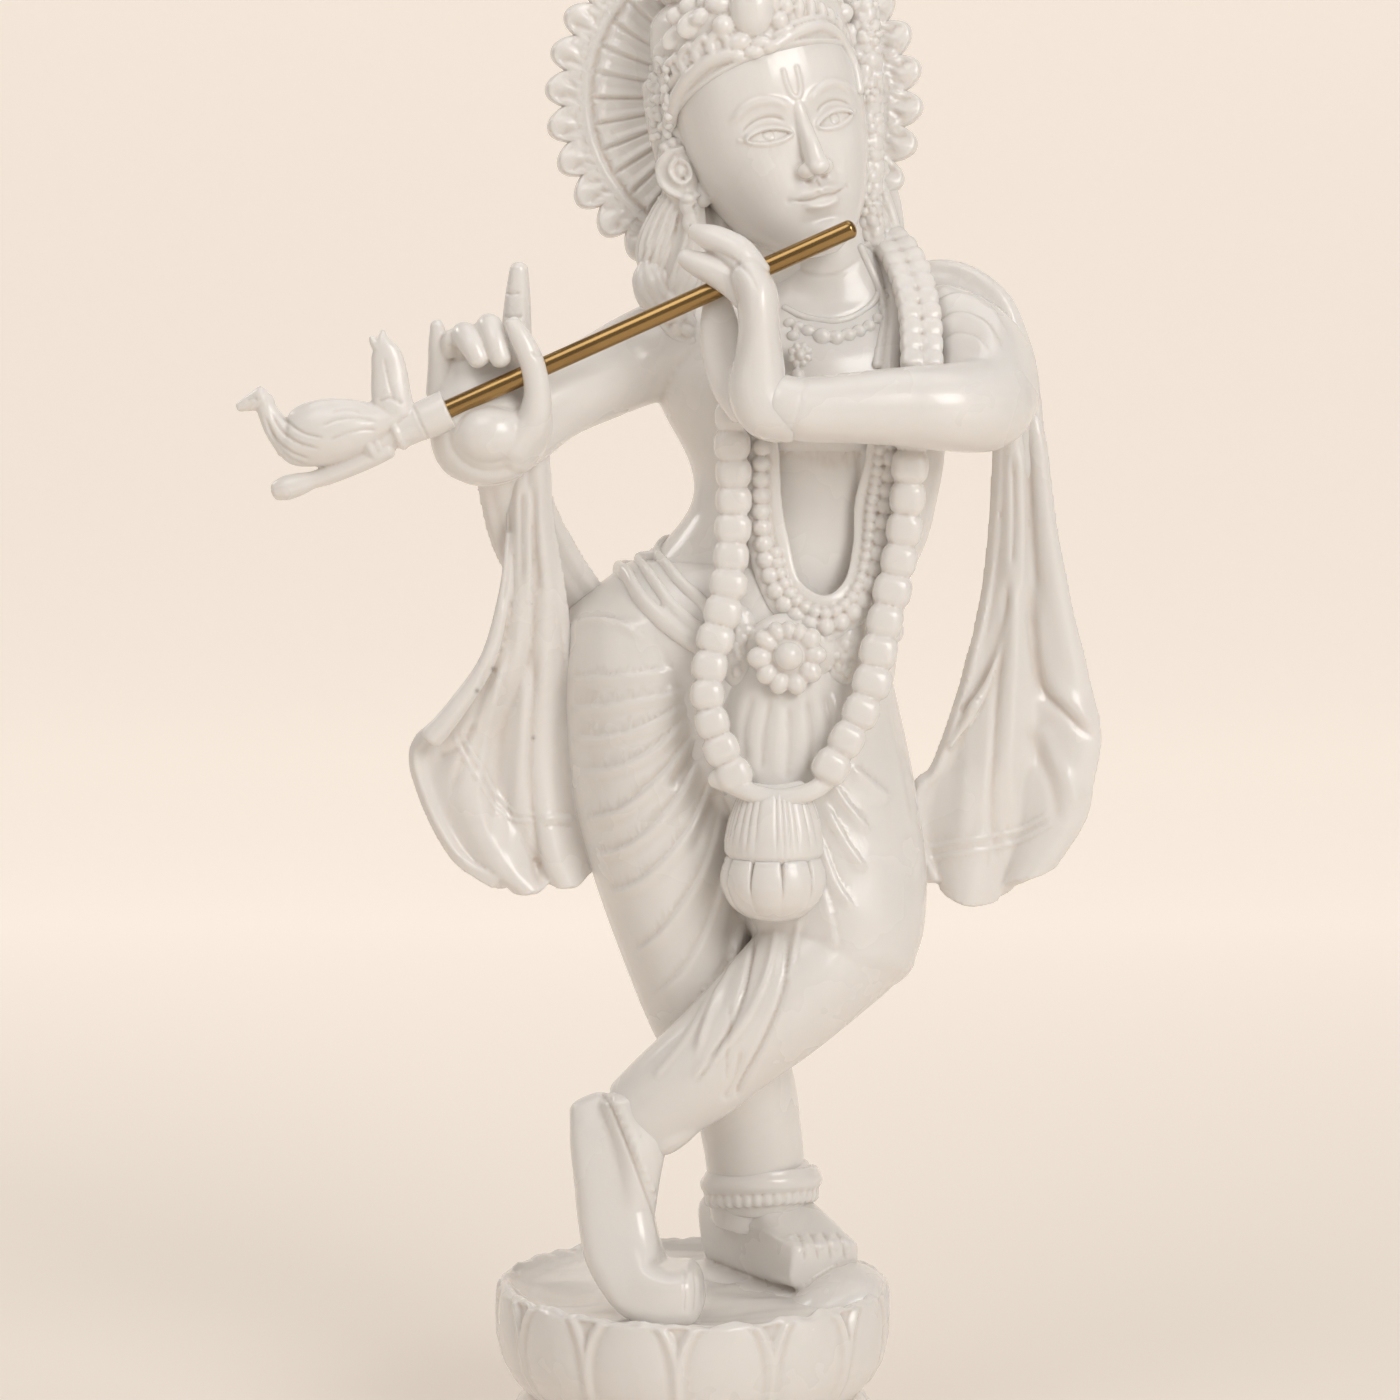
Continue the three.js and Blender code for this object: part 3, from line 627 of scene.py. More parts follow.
legForm = {
    "hips": [
        [42, 4, 500, 40, 20], [40, 8, 550, 62, 36], [40, 10, 600, 84, 50], [40, 10, 650, 100, 62],
        [40, 2, 690, 136, 78], [34, 4, 760, 160, 92], [31, 3, 830, 163, 98], [32, 2, 858, 163, 97],
        [42, 2, 884, 147, 92],
        [60, 2, 914, 126, 84],
    ],
    "standing": [
        [-40, 3, 862, 84, 88], [-43, 4, 800, 88, 98], [-37, 2, 696, 86, 96], [-23, -2, 616, 79, 90],
        [-5, -2, 536, 69, 80], [15, 8, 462, 60, 68], [48, 24, 388, 54, 60], [60, 42, 325, 51, 52],
        [64, 56, 285, 50, 48], [64, 62, 232, 46, 45],
    ],
    "thigh": [
        [112, 0, 830, 78, 88], [119, -10, 757, 88, 98], [128, -20, 684, 94, 96], [139, -36, 606, 94, 94],
        [144, -52, 556, 87, 88], [145, -62, 524, 76, 78],
    ],
    "shin": [
        [150, -58, 542, 66, 74], [112, -78, 511, 64, 70], [78, -92, 481, 60, 62], [44, -97, 452, 55, 56],
        [10, -97, 422, 52, 50], [-22, -93, 396, 48, 46], [-52, -87, 370, 44, 42],
    ],
    # the cloth's loose end at the shin and its layer below the belt
    "end": [[-44, -98, 352, 12, 16], [-30, -102, 352, 17, 22], [-8, -100, 370, 18, 24],
            [10, -94, 394, 16, 20]],
    "apron": [
        [92, -62, 850, 52, 40], [91, -70, 796, 62, 40], [88, -76, 746, 66, 40], [86, -78, 704, 58, 40],
        [92, -70, 650, 44, 36],
    ],
    "voxel": 1.1, "relax": 9,
    # how much narrower and higher the folds are cut than they are drawn
    "crisp": (0.85, 1.45),
    # strokes on the front sheet: points, width in sheet units, height in millimetres, kind
    "folds": [
        ([(566, 624), (590, 618), (620, 622), (648, 640)], 2.4, 0.5, "fold"),
        ([(566, 678), (600, 677), (640, 674), (676, 668)], 3.2, 0.9, "fold"),
        ([(568, 706), (600, 706), (645, 699), (690, 688)], 3.2, 0.9, "fold"),
        ([(570, 737), (600, 737), (645, 727), (688, 702)], 3.2, 1.0, "fold"),
        ([(576, 770), (610, 769), (650, 752), (690, 716)], 3.2, 1.0, "fold"),
        ([(580, 820), (620, 810), (660, 778), (698, 730)], 3.6, 1.1, "fold"),
        ([(590, 856), (630, 845), (672, 806), (706, 748)], 3.6, 1.1, "fold"),
        ([(602, 895), (645, 878), (690, 828), (716, 768)], 4.2, 1.0, "fold"),
        ([(630, 958), (668, 925), (704, 868), (724, 800)], 5, 1.0, "fold"),
        ([(650, 1005), (690, 962), (716, 905), (728, 850)], 6, 1.0, "fold"),
        ([(668, 790), (690, 760), (706, 742)], 9, 1.4, "groove"),
        ([(690, 860), (712, 800), (722, 760)], 8, 1.4, "groove"),
        ([(718, 1000), (735, 920), (742, 860)], 9, 1.4, "groove"),
        # under the tassel and down the crossing leg
        ([(746, 915), (732, 960), (712, 1010), (694, 1060)], 5, 1.8, "ridge"),
        ([(756, 918), (750, 960), (738, 1010), (712, 1058), (692, 1088)], 3, 1.6, "groove"),
        ([(778, 916), (768, 970), (744, 1022), (706, 1066), (690, 1080)], 4.6, 1.2, "ridge"),
        ([(788, 926), (784, 985), (764, 1040), (742, 1082), (736, 1100)], 3.4, 1.5, "groove"),
        ([(800, 916), (794, 950), (784, 985)], 3.6, 0.8, "ridge"),
        ([(716, 985), (692, 1030), (668, 1062), (652, 1080)], 4.0, 1.0, "ridge"),
        ([(730, 1000), (728, 1040), (727, 1088)], 2.6, -0.7, "ridge"),
        ([(742, 1046), (735, 1080), (722, 1102)], 5, 0.9, "groove"),
        # from the garland's end across the other thigh
        ([(832, 780), (850, 806), (872, 832)], 3, 1.0, "fold"),
        ([(824, 800), (846, 840), (868, 872)], 3, 1.2, "fold"),
        ([(818, 830), (836, 880), (856, 910)], 3, 1.1, "fold"),
        ([(850, 764), (874, 784), (892, 800)], 4, 0.8, "fold"),
        ([(822, 880), (832, 920), (838, 950)], 4, 0.8, "fold"),
        # pleats that hang from the flower
        ([(772, 694), (764, 735), (762, 775)], 5.0, 1.0, "groove"),
        ([(789, 700), (790, 745), (787, 785)], 5.5, 0.9, "groove"),
        ([(806, 694), (812, 735), (810, 780)], 4.6, 0.9, "groove"),
        ([(824, 690), (830, 725), (828, 760)], 5.0, 0.8, "groove"),
        ([(754, 690), (744, 730), (746, 765)], 5.0, 0.8, "groove"),
        ([(780, 700), (777, 740), (776, 785)], 5.0, 0.5, "ridge"),
        ([(894, 690), (905, 760), (918, 830)], 6, 0.8, "groove"),
    ],
}


def makeLegs():
    parts = [
        limb(legForm["hips"], sides=64, rings=40, ends=(0.2, 0.1), level=True),
        limb(legForm["standing"], sides=48, rings=72, ends=(0, 0)),
        limb(legForm["thigh"], sides=48, rings=56, ends=(0, 0.5)),
        limb(legForm["shin"], sides=48, rings=56, ends=(0.5, 0.3)),
        limb(legForm["end"]),
        limb(legForm["apron"]),
    ]
    legs = fuse("legs", parts, legForm["voxel"], legForm["relax"])
    narrower, higher = legForm["crisp"]
    crisp = [(line, narrower * width, higher * height if kind == "fold" else height, kind)
             for line, width, height, kind in legForm["folds"]]
    carveStrokes(legs, crisp)
    return setDown(legs, marble)


# head

headForm = {
    "nose": [[0, -91, 24, 7.5, 9], [0, -97, 4, 7.5, 10], [0, -104, -18, 9, 12], [0, -109, -35, 10.5, 12]],
    "neck": [[0, 4, -40, 50, 52], [0, 20, -120, 48, 50], [0, 26, -190, 46, 46]],
    # height, half width, front, back: chin to the top of the head, in the head's own frame
    "skull": [
        (-123, 17, -82, -46), (-112, 36, -92, -8), (-92, 57, -96, 34), (-62, 74, -98, 62), (-22, 88, -99, 86),
        (20, 94, -99, 95), (60, 91, -98, 95), (90, 80, -90, 88), (114, 52, -62, 62),
    ],
    "ear": [
        [84, -10, 8, 7, 8], [91, -2, 24, 7, 8], [97, 12, 20, 7, 8], [98, 16, 2, 7, 8], [94, 8, -20, 7, 8],
        [88, -2, -34, 8, 9], [86, -6, -46, 9, 10],
    ],
    # soft forms: place across and up, spread across and up, height
    "forms": [
        (35, 5, 19, 13, -10.0), (47, -34, 22, 20, 4.5), (0, -68, 25, 17, 6.0), (0, -106, 18, 13, 7.0),
        (0, -88, 17, 5.5, -3.0), (11, -40, 6, 6, 2.0), (30, -64, 4, 4, -2.0), (8, -50, 3.5, 2.5, -3.5),
        (16, 24, 14, 6, 2.0), (52, -18, 16, 12, 2.0), (22, -46, 7, 14, -1.6),
    ],
    "strokes": [
        ([(-27, -64), (-13, -61.5), (-4, -59), (0, -60.5), (4, -59), (13, -61.5), (27, -64)], 3.6, 3.4,
         "ridge"),
        ([(-21, -71), (-10, -75.5), (0, -77), (10, -75.5), (21, -71)], 4.2, 4.2, "ridge"),
        ([(-30, -64), (-15, -67.5), (0, -67), (15, -67.5), (30, -64)], 1.5, -3.4, "ridge"),
        ([(-2, -50), (0, -54), (0, -58)], 2.4, -1.6, "ridge"),
        ([(-7, 58), (-6.5, 42), (-4, 33), (0, 30), (4, 33), (6.5, 42), (7, 58)], 1.8, 1.8, "hard"),
    ],
    "eyeStrokes": [
        ([(15, 10), (24, 16.5), (36, 19), (48, 16), (60, 8)], 1.8, -2.2, "ridge"),
        ([(9, 21), (22, 31), (38, 34.5), (53, 30), (66, 18)], 3.6, 3.0, "ridge"),
        ([(9, 24), (22, 34), (38, 38), (54, 33), (67, 20)], 1.6, 1.0, "ridge"),
        ([(52, 3), (58, 2), (64, 4)], 1.8, 1.6, "ridge"),
    ],
    # the eye: its middle, half width, how far it opens up and down, and its roundness
    "eye": {"middle": (35, 0), "half": 21, "upper": 7.2, "lower": 5.6, "ball": 8.5, "lid": 3.4, "iris": 5.0},
    "voxel": 0.45,
}


def makeHead():
    def skullSection(angle, along):
        full = 0.86
        return (np.sign(np.cos(angle)) * np.abs(np.cos(angle)) ** full,
                np.sign(np.sin(angle)) * np.abs(np.sin(angle)) ** full)

    stations = [[0, (f + b) / 2, z, half, (b - f) / 2] for z, half, f, b in headForm["skull"]]
    parts = [
        limb(stations, sides=72, rings=72, ends=(0.15, 0.5), level=True, section=skullSection, cap=0.06),
        limb(headForm["nose"]),
        egg((0, -112, -37), (10.5, 10, 9.5)),  # tip of the nose
        limb(headForm["neck"], ends=(0, 0)),
    ]
    for side in (-1, 1):
        parts.append(egg((side * 9, -102, -40), (9.5, 9.5, 8)))
        parts.append(limb([[side * s[0], *s[1:]] for s in headForm["ear"]], ends=(0.8, 0.9),
                          facing=(1, 0, 0)))
        parts.append(egg((side * 88, 4, -8), (8, 14, 26)))
    head = fuse("head", parts, headForm["voxel"], 6)
    points = readPoints(head) / square
    normals = readNormals(head)
    front = ease((-points[:, 1] - 48) / 22) * ease((-normals[:, 1] + 0.25) / 0.5)
    x, z = points[:, 0], points[:, 2]
    rise = np.zeros(len(points))
    for px, pz, sx, sz, height in headForm["forms"]:
        for side in ((-1, 1) if px else (1,)):
            rise += height * np.exp(-((x - side * px) / sx) ** 2 - ((z - pz) / sz) ** 2)
    eye = headForm["eye"]
    for side in (-1, 1):
        out, up = x * side - eye["middle"][0], z - eye["middle"][1]
        across = out / eye["half"]
        up = up - 1.6 * across
        room = np.maximum(1 - across ** 2, 0) ** 0.8
        above, below = up - eye["upper"] * room, -eye["lower"] * room - up
        open_ = ease(np.minimum(-above, -below) / 1.6) * (np.abs(across) < 1)
        mound = eye["ball"] * np.exp(-(out / 19) ** 2 - (up / 13) ** 2)
        near = ease((1.12 - np.abs(across)) / 0.15)
        lids = eye["lid"] * bell((above - 1.0) / 2.2) * (above > -3)
        lids = lids + 0.7 * eye["lid"] * bell((below - 1.0) / 2.0) * (below > -3)
        iris = np.hypot(out, up - 1.2)
        rise += mound + lids * near * (1 - open_) - 1.4 * open_
        rise += open_ * (0.9 * bell(iris / 3.8) - 0.9 * bell((iris - eye["iris"]) / 1.0))
    flat = np.stack([x, z], axis=1)
    rise += strokeField(flat, headForm["strokes"])
    for side in (-1, 1):
        rise += strokeField(flat * [side, 1], headForm["eyeStrokes"])
    points[:, 1] -= rise * front
    writePoints(head, points * square)
    return setDown(onHead(head), marble)


# crown

crownForm = {
    # height, radius and count of the beads on the tiers
    "tierBeads": [(158, 76, 24), (190, 55, 18), (221, 38, 13)],
    "brow": 84, "nape": -10, "rimBeads": 46, "bars": 56, "balls": 32,
    "cap": [
        (0, -96), (70, -92), (96, -60), (101, 0), (100, 50), (97, 90), (93, 118), (84, 136), (60, 146),
        (0, 148),
    ],
    "tiers": [
        (0, 140), (60, 142), (72, 150), (74, 158), (62, 166), (50, 172), (46, 180), (54, 190), (48, 199),
        (36, 204),
        (31, 212), (37, 221), (28, 230), (16, 236), (19, 246), (11, 257), (0, 270),
    ],
    # drawn on the sheet and laid on the cap: cords as points, half width and depth
    "cords": [
        ([(668, 142), (669, 128), (672, 110), (679, 93), (690, 77), (706, 63), (720, 57), (731, 54)], 7.5,
         7.5),
        ([(659, 132), (660, 116), (664, 99), (671, 84), (680, 73)], 5.0, 4.5),
        ([(774, 46), (790, 36), (808, 28), (823, 26), (837, 34), (847, 50), (855, 70), (859, 92)], 5.5, 6.0),
        ([(788, 25), (812, 18), (832, 20), (845, 32)], 3.2, 3.6),
        ([(668, 77), (669, 66), (676, 59), (683, 64), (686, 76)], 5.2, 6.5),
        ([(681, 66), (683, 53), (690, 47), (696, 53), (699, 66)], 5.2, 6.5),
        ([(694, 58), (697, 45), (704, 39), (711, 45), (713, 57)], 5.2, 6.5),
        ([(709, 50), (712, 38), (719, 34), (727, 40), (729, 51)], 5.2, 6.5),
    ],
    # gem, balls, scrolls and bars: across, down, half width, half height, turn, depth
    "studs": [
        (752, 7, 21, 29, 0, 16), (723, 26, 11, 11, 0, 11), (739, 42, 12, 9, -12, 8),
        (760, 42.5, 10, 6, -15, 7),
        (719, 4, 14, 10, 10, 9), (779.5, 20.5, 9, 9, 0, 9), (783, 32, 12, 5.5, -28, 6),
        (692, 24, 17, 12, -38, 6),
        (699, 17, 11, 8, -38, 10), (674, 37, 15, 9, -48, 5), (662, 50, 12, 8, -60, 4), (736, 55, 10, 7, 0, 7),
        (754, 52, 10, 7, -6, 7), (770, 47, 9, 6.5, -20, 7), (799, 9, 5.5, 10, 5, 7), (811, 9, 5, 11, 0, 7),
        (822, 12, 5, 10, -6, 7), (831, 17, 4.6, 9, -10, 6), (839, 24, 4, 8, -14, 6), (690, 6, 11, 9, 0, 6),
        (676, 16, 10, 9, 0, 5), (704, 2, 7, 8, 0, 6), (771, 4, 9, 10, 0, 8), (786, 6, 7, 9, 0, 7),
        (677, 70, 6, 8, -30, 3.5), (690, 59, 6, 8, -30, 3.5), (703, 50, 6, 8, -30, 3.5),
        (719, 45, 6, 8, -20, 3.5),
    ],
    # soft low lumps on the side, where the carving is worn
    "softLumps": [
        (656, 66, 9, 7, 30, 0.8), (650, 84, 7, 9, 0, 0.7), (653, 102, 6, 9, -10, 0.6),
        (661, 84, 5, 7, 10, 0.6),
        (657, 120, 6, 8, -10, 0.7), (666, 62, 6, 6, 0, 0.7), (648, 98, 5, 6, 0, 0.5),
        (655, 134, 6, 6, 0, 0.6),
    ],
}


def crownRing(rise, spread, count, shift=0.0):
    # places round the crown's slanted rim, counted from the middle of the brow
    brow, nape = crownForm["brow"], crownForm["nape"]
    girths, levels = zip(*crownForm["cap"])
    places = []
    for k in range(count):
        angle = 2 * math.pi * (k + shift) / count - math.pi / 2
        level = (brow + nape) / 2 - math.sin(angle) * (brow - nape) / 2 + rise
        girth = np.interp(level, levels[2:8], girths[2:8]) + spread
        out = np.array([math.cos(angle), math.sin(angle), 0.0])
        places.append((out * girth + [0, 0, level], out))
    return places


def makeCrown(head):
    form = crownForm
    cap = turned((0, 0, 0), form["cap"], sides=96, rings=72)
    points = readPoints(cap) / square
    middle, rise = (form["brow"] + form["nape"]) / 2, (form["brow"] - form["nape"]) / 2
    slant = middle - points[:, 1] / 100 * rise
    low = points[:, 2] < slant
    points[low, 2] = slant[low] + (points[low, 2] - slant[low]) * 0.04
    writePoints(cap, points * square)
    cap0 = cap.copy()
    cap0.data = cap.data.copy()
    bpy.context.collection.objects.link(cap0)
    onHead(cap0)
    parts = [cap]
    up = np.array([0.0, 0.0, 1.0])

    def ringOf(rise, spread, count, size, power=0):
        # only where the front doesn't show it
        frames = []
        for place, out in crownRing(rise, spread, count):
            if (headTurn @ out)[1] > -0.12:
                frames.append((place, np.cross(out, up) * size[0], out * size[1], up * size[2]))
        parts.append(strew("ring", unitBall(16, 12, power), frames))

    ringOf(0, 2, form["rimBeads"], (10.5, 8.5, 8.5))
    ringOf(20, 1, form["bars"], (5.0, 7, 12.5), 3.4)
    ringOf(41, 1, form["balls"], (10, 10, 9.5))
    ringOf(58, -1, 40, (9, 7, 5), 3)
    # the closed top: three lobed tiers and a bud
    parts.append(turned((0, 0, 0), form["tiers"], 160, 120,
                        lambda angle, run: 1 + 0.06 * np.abs(np.cos(8 * angle)) * ease(run / 0.2)))
    for level, radius, count in form["tierBeads"]:
        frames = []
        for k in range(count):
            angle = 2 * math.pi * k / count
            out = np.array([math.cos(angle), math.sin(angle), 0.0])
            frames.append((out * radius + [0, 0, level], np.cross(out, up) * 7, out * 7, up * 8))
        parts.append(strew("tierBeads", unitBall(12, 8), frames))
    crown = joinAll("crown", parts)
    onHead(crown)
    front = [laid([cap0, head], spots, half, deep) for spots, half, deep in form["cords"]]
    front.append(studs("studs", [cap0, head], unitBall(28, 20), form["studs"]))
    bpy.data.objects.remove(cap0)
    crown = fuse("crown", [crown, *front], 0.5, 2)
    carveLumps(crown, form["softLumps"])
    return setDown(crown, marble)


# plume: the halo of pleats behind the head

plumeForm = {
    "middle": (41, 12, 1373), "lobes": 30, "firstTip": 176.6, "pleats": 34, "thick": 13,
    "notch": 170.5, "outer": 188, "pleatStart": 78, "pleatEnd": 139, "line": 147,
}


def makePlume():
    form = plumeForm
    bpy.ops.mesh.primitive_uv_sphere_add(segments=form["lobes"] * 18, ring_count=100)
    plume = bpy.context.object
    ball = readPoints(plume)
    run = np.arccos(np.clip(ball[:, 2], -1, 1)) / math.pi
    angle = np.arctan2(ball[:, 1], ball[:, 0])
    toRim = 1 - np.abs(run * 2 - 1)
    front = np.where(run < 0.5, 1.0, -1.0)
    u = 2 * (((np.degrees(angle) - form["firstTip"]) * form["lobes"] / 360 + 0.5) % 1.0) - 1
    lean = u - 0.12 * (1 - u ** 2)
    tip = np.maximum(1 - np.abs(lean) ** 2.1, 0) ** 0.85
    edge = form["notch"] + (form["outer"] - form["notch"]) * tip
    r = edge * np.interp(toRim, [0, 0.1, 0.86, 1.0], [0, 0.45, 0.97, 1.0])
    rounding = np.sqrt(np.maximum(1 - ((np.maximum(r, edge - 9) - edge + 9) / 9.2) ** 2, 0))
    # pleats: flat bars with rounded corners
    pleat = 2 * ((angle * form["pleats"] / (2 * math.pi)) % 1.0) - 1
    bar = 1 / (1 + (np.abs(pleat) / 0.86) ** 12)
    ends = ease((r - form["pleatStart"]) / 5) * ease((form["pleatEnd"] - r + 4 * pleat ** 2) / 5)
    rise = (4.0 + 2.4 * pleat - 1.2 * bell(pleat / 0.5)) * bar * ends
    rise += 1.6 * bar * bell((r - form["pleatEnd"] + 6) / 4)
    rise -= 2.0 * ease((r - form["pleatStart"] + 2) / 5) * ease((form["line"] - 2 - r) / 3)
    rise += 2.2 * bell((r - form["line"]) / 2.4) + 1.2 * bell((r - form["line"] - 6) / 2.0)
    # lobes: a thick rim, a rounded rib that runs inwards and a crescent hollow above it
    a, b = lean * 19.5, r - form["notch"]
    lobes = 2.2 * bell((edge - r - 4.5) / 2.6)
    dome = np.hypot((a + 3.5) / 7.0, (b - 5) / 9)
    hook = np.hypot((a + 6 + 0.5 * b) / 4.5, (b + 7) / 9)
    lobes += 3.6 * bell(dome) + 2.4 * bell(hook)
    lobes -= 2.0 * bell(np.hypot((a - 7.5 - 0.2 * b) / 3.6, (b + 1) / 7))
    lobes -= 3.2 * bell((np.abs(lean) - 1) / 0.14) * ease((b + 10) / 8)
    lobes += 1.6 * bell(np.hypot((np.abs(a) - 17) / 5.5, (b + 11) / 5))
    disc = np.stack([r * np.cos(angle), r * np.sin(angle), 0 * r], axis=1)
    lobes += 0.9 * softNoise(disc, 9, 21) * ease((form["notch"] - 2 - r) / 6)
    rise += lobes * ease((r - form["line"] - 2) / 5)
    y = -front * (form["thick"] * rounding + np.where(front > 0, rise, rise * 0.55))
    points = np.stack([r * np.cos(angle), y, r * np.sin(angle)], axis=1)
    writePoints(plume, (points + form["middle"]) * square)
    plume.name = "plume"
    return setDown(plume, marble)


# hair and earrings

hairForm = {
    # drawn on the sheet, with sides and rings: two locks at the near ear, then the pad of flowers down the
    # far side of the face
    "front": [
        ([[676, 140, -44, 13, 12], [677, 160, -50, 19, 14], [680, 182, -52, 19, 14], [688, 206, -52, 12, 12],
          [691, 228, -50, 9, 10]], 48, 48),
        ([[662, 118, -6, 9, 14], [662, 138, -10, 11, 14], [665, 160, -14, 10, 14], [668, 186, -16, 8, 12]],
         32, 40),
        ([[864, 8, -18, 15, 15], [866, 60, -22, 16, 15], [868, 112, -22, 16, 15], [869, 160, -22, 15, 15],
          [868, 205, -24, 14, 14], [874, 240, -22, 12, 12]], 48, 72),
    ],
    # on the head's own frame: the strips before the ears, the far earring's flowers and their radii
    "strip": [[92, 22, 70, 18, 20], [97, 22, 20, 17, 20], [94, 26, -30, 17, 22], [84, 28, -80, 17, 22]],
    "earring": [(100, -6, 10, 11), (101, -8, -12, 12), (99, -12, -36, 12), (95, -16, -58, 9)],
    # drawn on the sheet: across, down, depth, half width, half depth; then strands and twist
    "fan": [
        ([[682, 150, -30, 18, 22], [680, 196, -36, 18, 22], [671, 218, -34, 21, 22], [662, 242, -32, 24, 22],
          [656, 262, -30, 21, 20], [652, 276, -28, 12, 14]], 15, 2),
        ([[690, 196, -40, 14, 18], [692, 226, -44, 15, 18], [690, 252, -42, 17, 18], [684, 276, -40, 18, 18],
          [680, 296, -38, 14, 14]], 9, -3),
        ([[650, 262, -34, 9, 12], [650, 276, -38, 17, 18], [652, 290, -38, 18, 19], [658, 304, -36, 15, 16],
          [664, 312, -34, 8, 9]], 10, 4),
        ([[664, 290, -30, 15, 16], [672, 308, -38, 19, 17], [680, 324, -40, 20, 17], [688, 338, -38, 15, 13],
          [694, 350, -34, 8, 8]], 8, 6),
    ],
    "locks": [
        ([[26, 2, 1290, 26, 26], [18, -8, 1240, 28, 26], [14, -12, 1190, 26, 22], [10, -10, 1150, 18, 16]], 8,
         4),
        ([[170, 18, 1320, 22, 26], [182, 14, 1276, 22, 24], [190, 6, 1240, 19, 20], [196, 0, 1212, 13, 15]],
         8, 5),
    ],
    # the ear's carved ornament and its drop, drawn on the sheet
    "earStrokes": [
        ([(682, 149), (668, 154), (659, 166), (661, 180), (670, 191), (686, 198), (697, 195)], 2.6, 1.7,
         "hard"),
        ([(676, 159), (670, 168), (674, 179), (683, 184), (690, 177), (688, 166), (681, 160)], 2.2, 1.5,
         "hard"),
        ([(660, 140), (656, 154), (654, 170), (658, 186), (668, 200)], 2.0, -0.8, "ridge"),
        ([(652, 152), (649, 170), (654, 190), (664, 204)], 2.2, 0.8, "ridge"),
        ([(672, 204), (664, 228), (652, 254), (646, 270)], 1.6, -0.5, "ridge"),
        ([(680, 206), (674, 232), (664, 256), (656, 276)], 1.6, -0.5, "ridge"),
        ([(664, 204), (656, 226), (646, 248), (640, 262)], 1.6, -0.5, "ridge"),
        ([(690, 214), (688, 240), (680, 262), (672, 284)], 1.6, -0.5, "ridge"),
    ],
    "earLumps": [
        (681, 171, 5, 6, 0, 1.4), (688, 205, 9, 12, 0, 1.6), (690, 222, 8, 12, 0, 1.6),
        (694, 207, 3, 3.4, 0, -1.6),
        (683, 178, 2, 2.4, 0, -1.0), (664, 147, 5, 5, 0, 1.4), (672, 142, 5, 5, 0, 1.4),
        (681, 139, 5, 5, 0, 1.4),
        (668, 318, 7, 6, 20, 1.3), (680, 316, 7, 6, 0, 1.3), (676, 330, 7, 6, 30, 1.3),
        (688, 330, 7, 6, 0, 1.3),
        (692, 342, 6, 5, 0, 1.2),
    ],
    "back": [
        ([[30, 66, 1330, 40, 30], [44, 84, 1250, 38, 28], [64, 92, 1176, 32, 24], [84, 92, 1112, 18, 14]], 9,
         6),
        ([[78, 76, 1330, 42, 30], [88, 94, 1250, 38, 28], [100, 98, 1170, 34, 24], [108, 92, 1088, 16, 12]],
         9, -6),
        ([[124, 62, 1322, 38, 30], [128, 84, 1246, 36, 28], [132, 92, 1176, 30, 24], [130, 90, 1112, 16, 12]],
         9, 6),
    ],
}


def makeTemple(under):
    # small knobs where the crown, the pleats and the hair meet
    rng = np.random.default_rng(6)
    marks = []
    for row in range(9):
        for column in range(3):
            marks.append((651 + 7.5 * column + rng.uniform(-2, 2) + 0.25 * row,
                          60 + 9.5 * row + rng.uniform(-2.5, 2.5),
                          rng.uniform(4, 6.5), rng.uniform(3.5, 5), rng.uniform(0, 180), rng.uniform(2.5, 4)))
    return setDown(fuse("temple", [studs("knobs", under, unitBall(20, 14), marks)], 0.5, 2), marble)


def rosette(place, size, petals, out=(0, -1, 0)):
    # a flat flower: a ball and its round petals
    out = unit(np.asarray(out, float))
    across = unit(np.cross(out, [0, 0, 1.0]))
    above = np.cross(across, out)
    first = unitBall(14, 10)
    frames = [(np.asarray(place, float) + out * size * 0.2, across * size * 0.42, out * size * 0.4,
               above * size * 0.42)]
    for k in range(petals):
        angle = 2 * math.pi * (k + 0.5) / petals
        way = across * math.cos(angle) + above * math.sin(angle)
        turn = np.cross(way, out)
        frames.append((np.asarray(place, float) + way * size * 0.72, turn * size * 0.3, out * size * 0.32,
                       way * size * 0.36))
    return strew("rosette", first, frames)


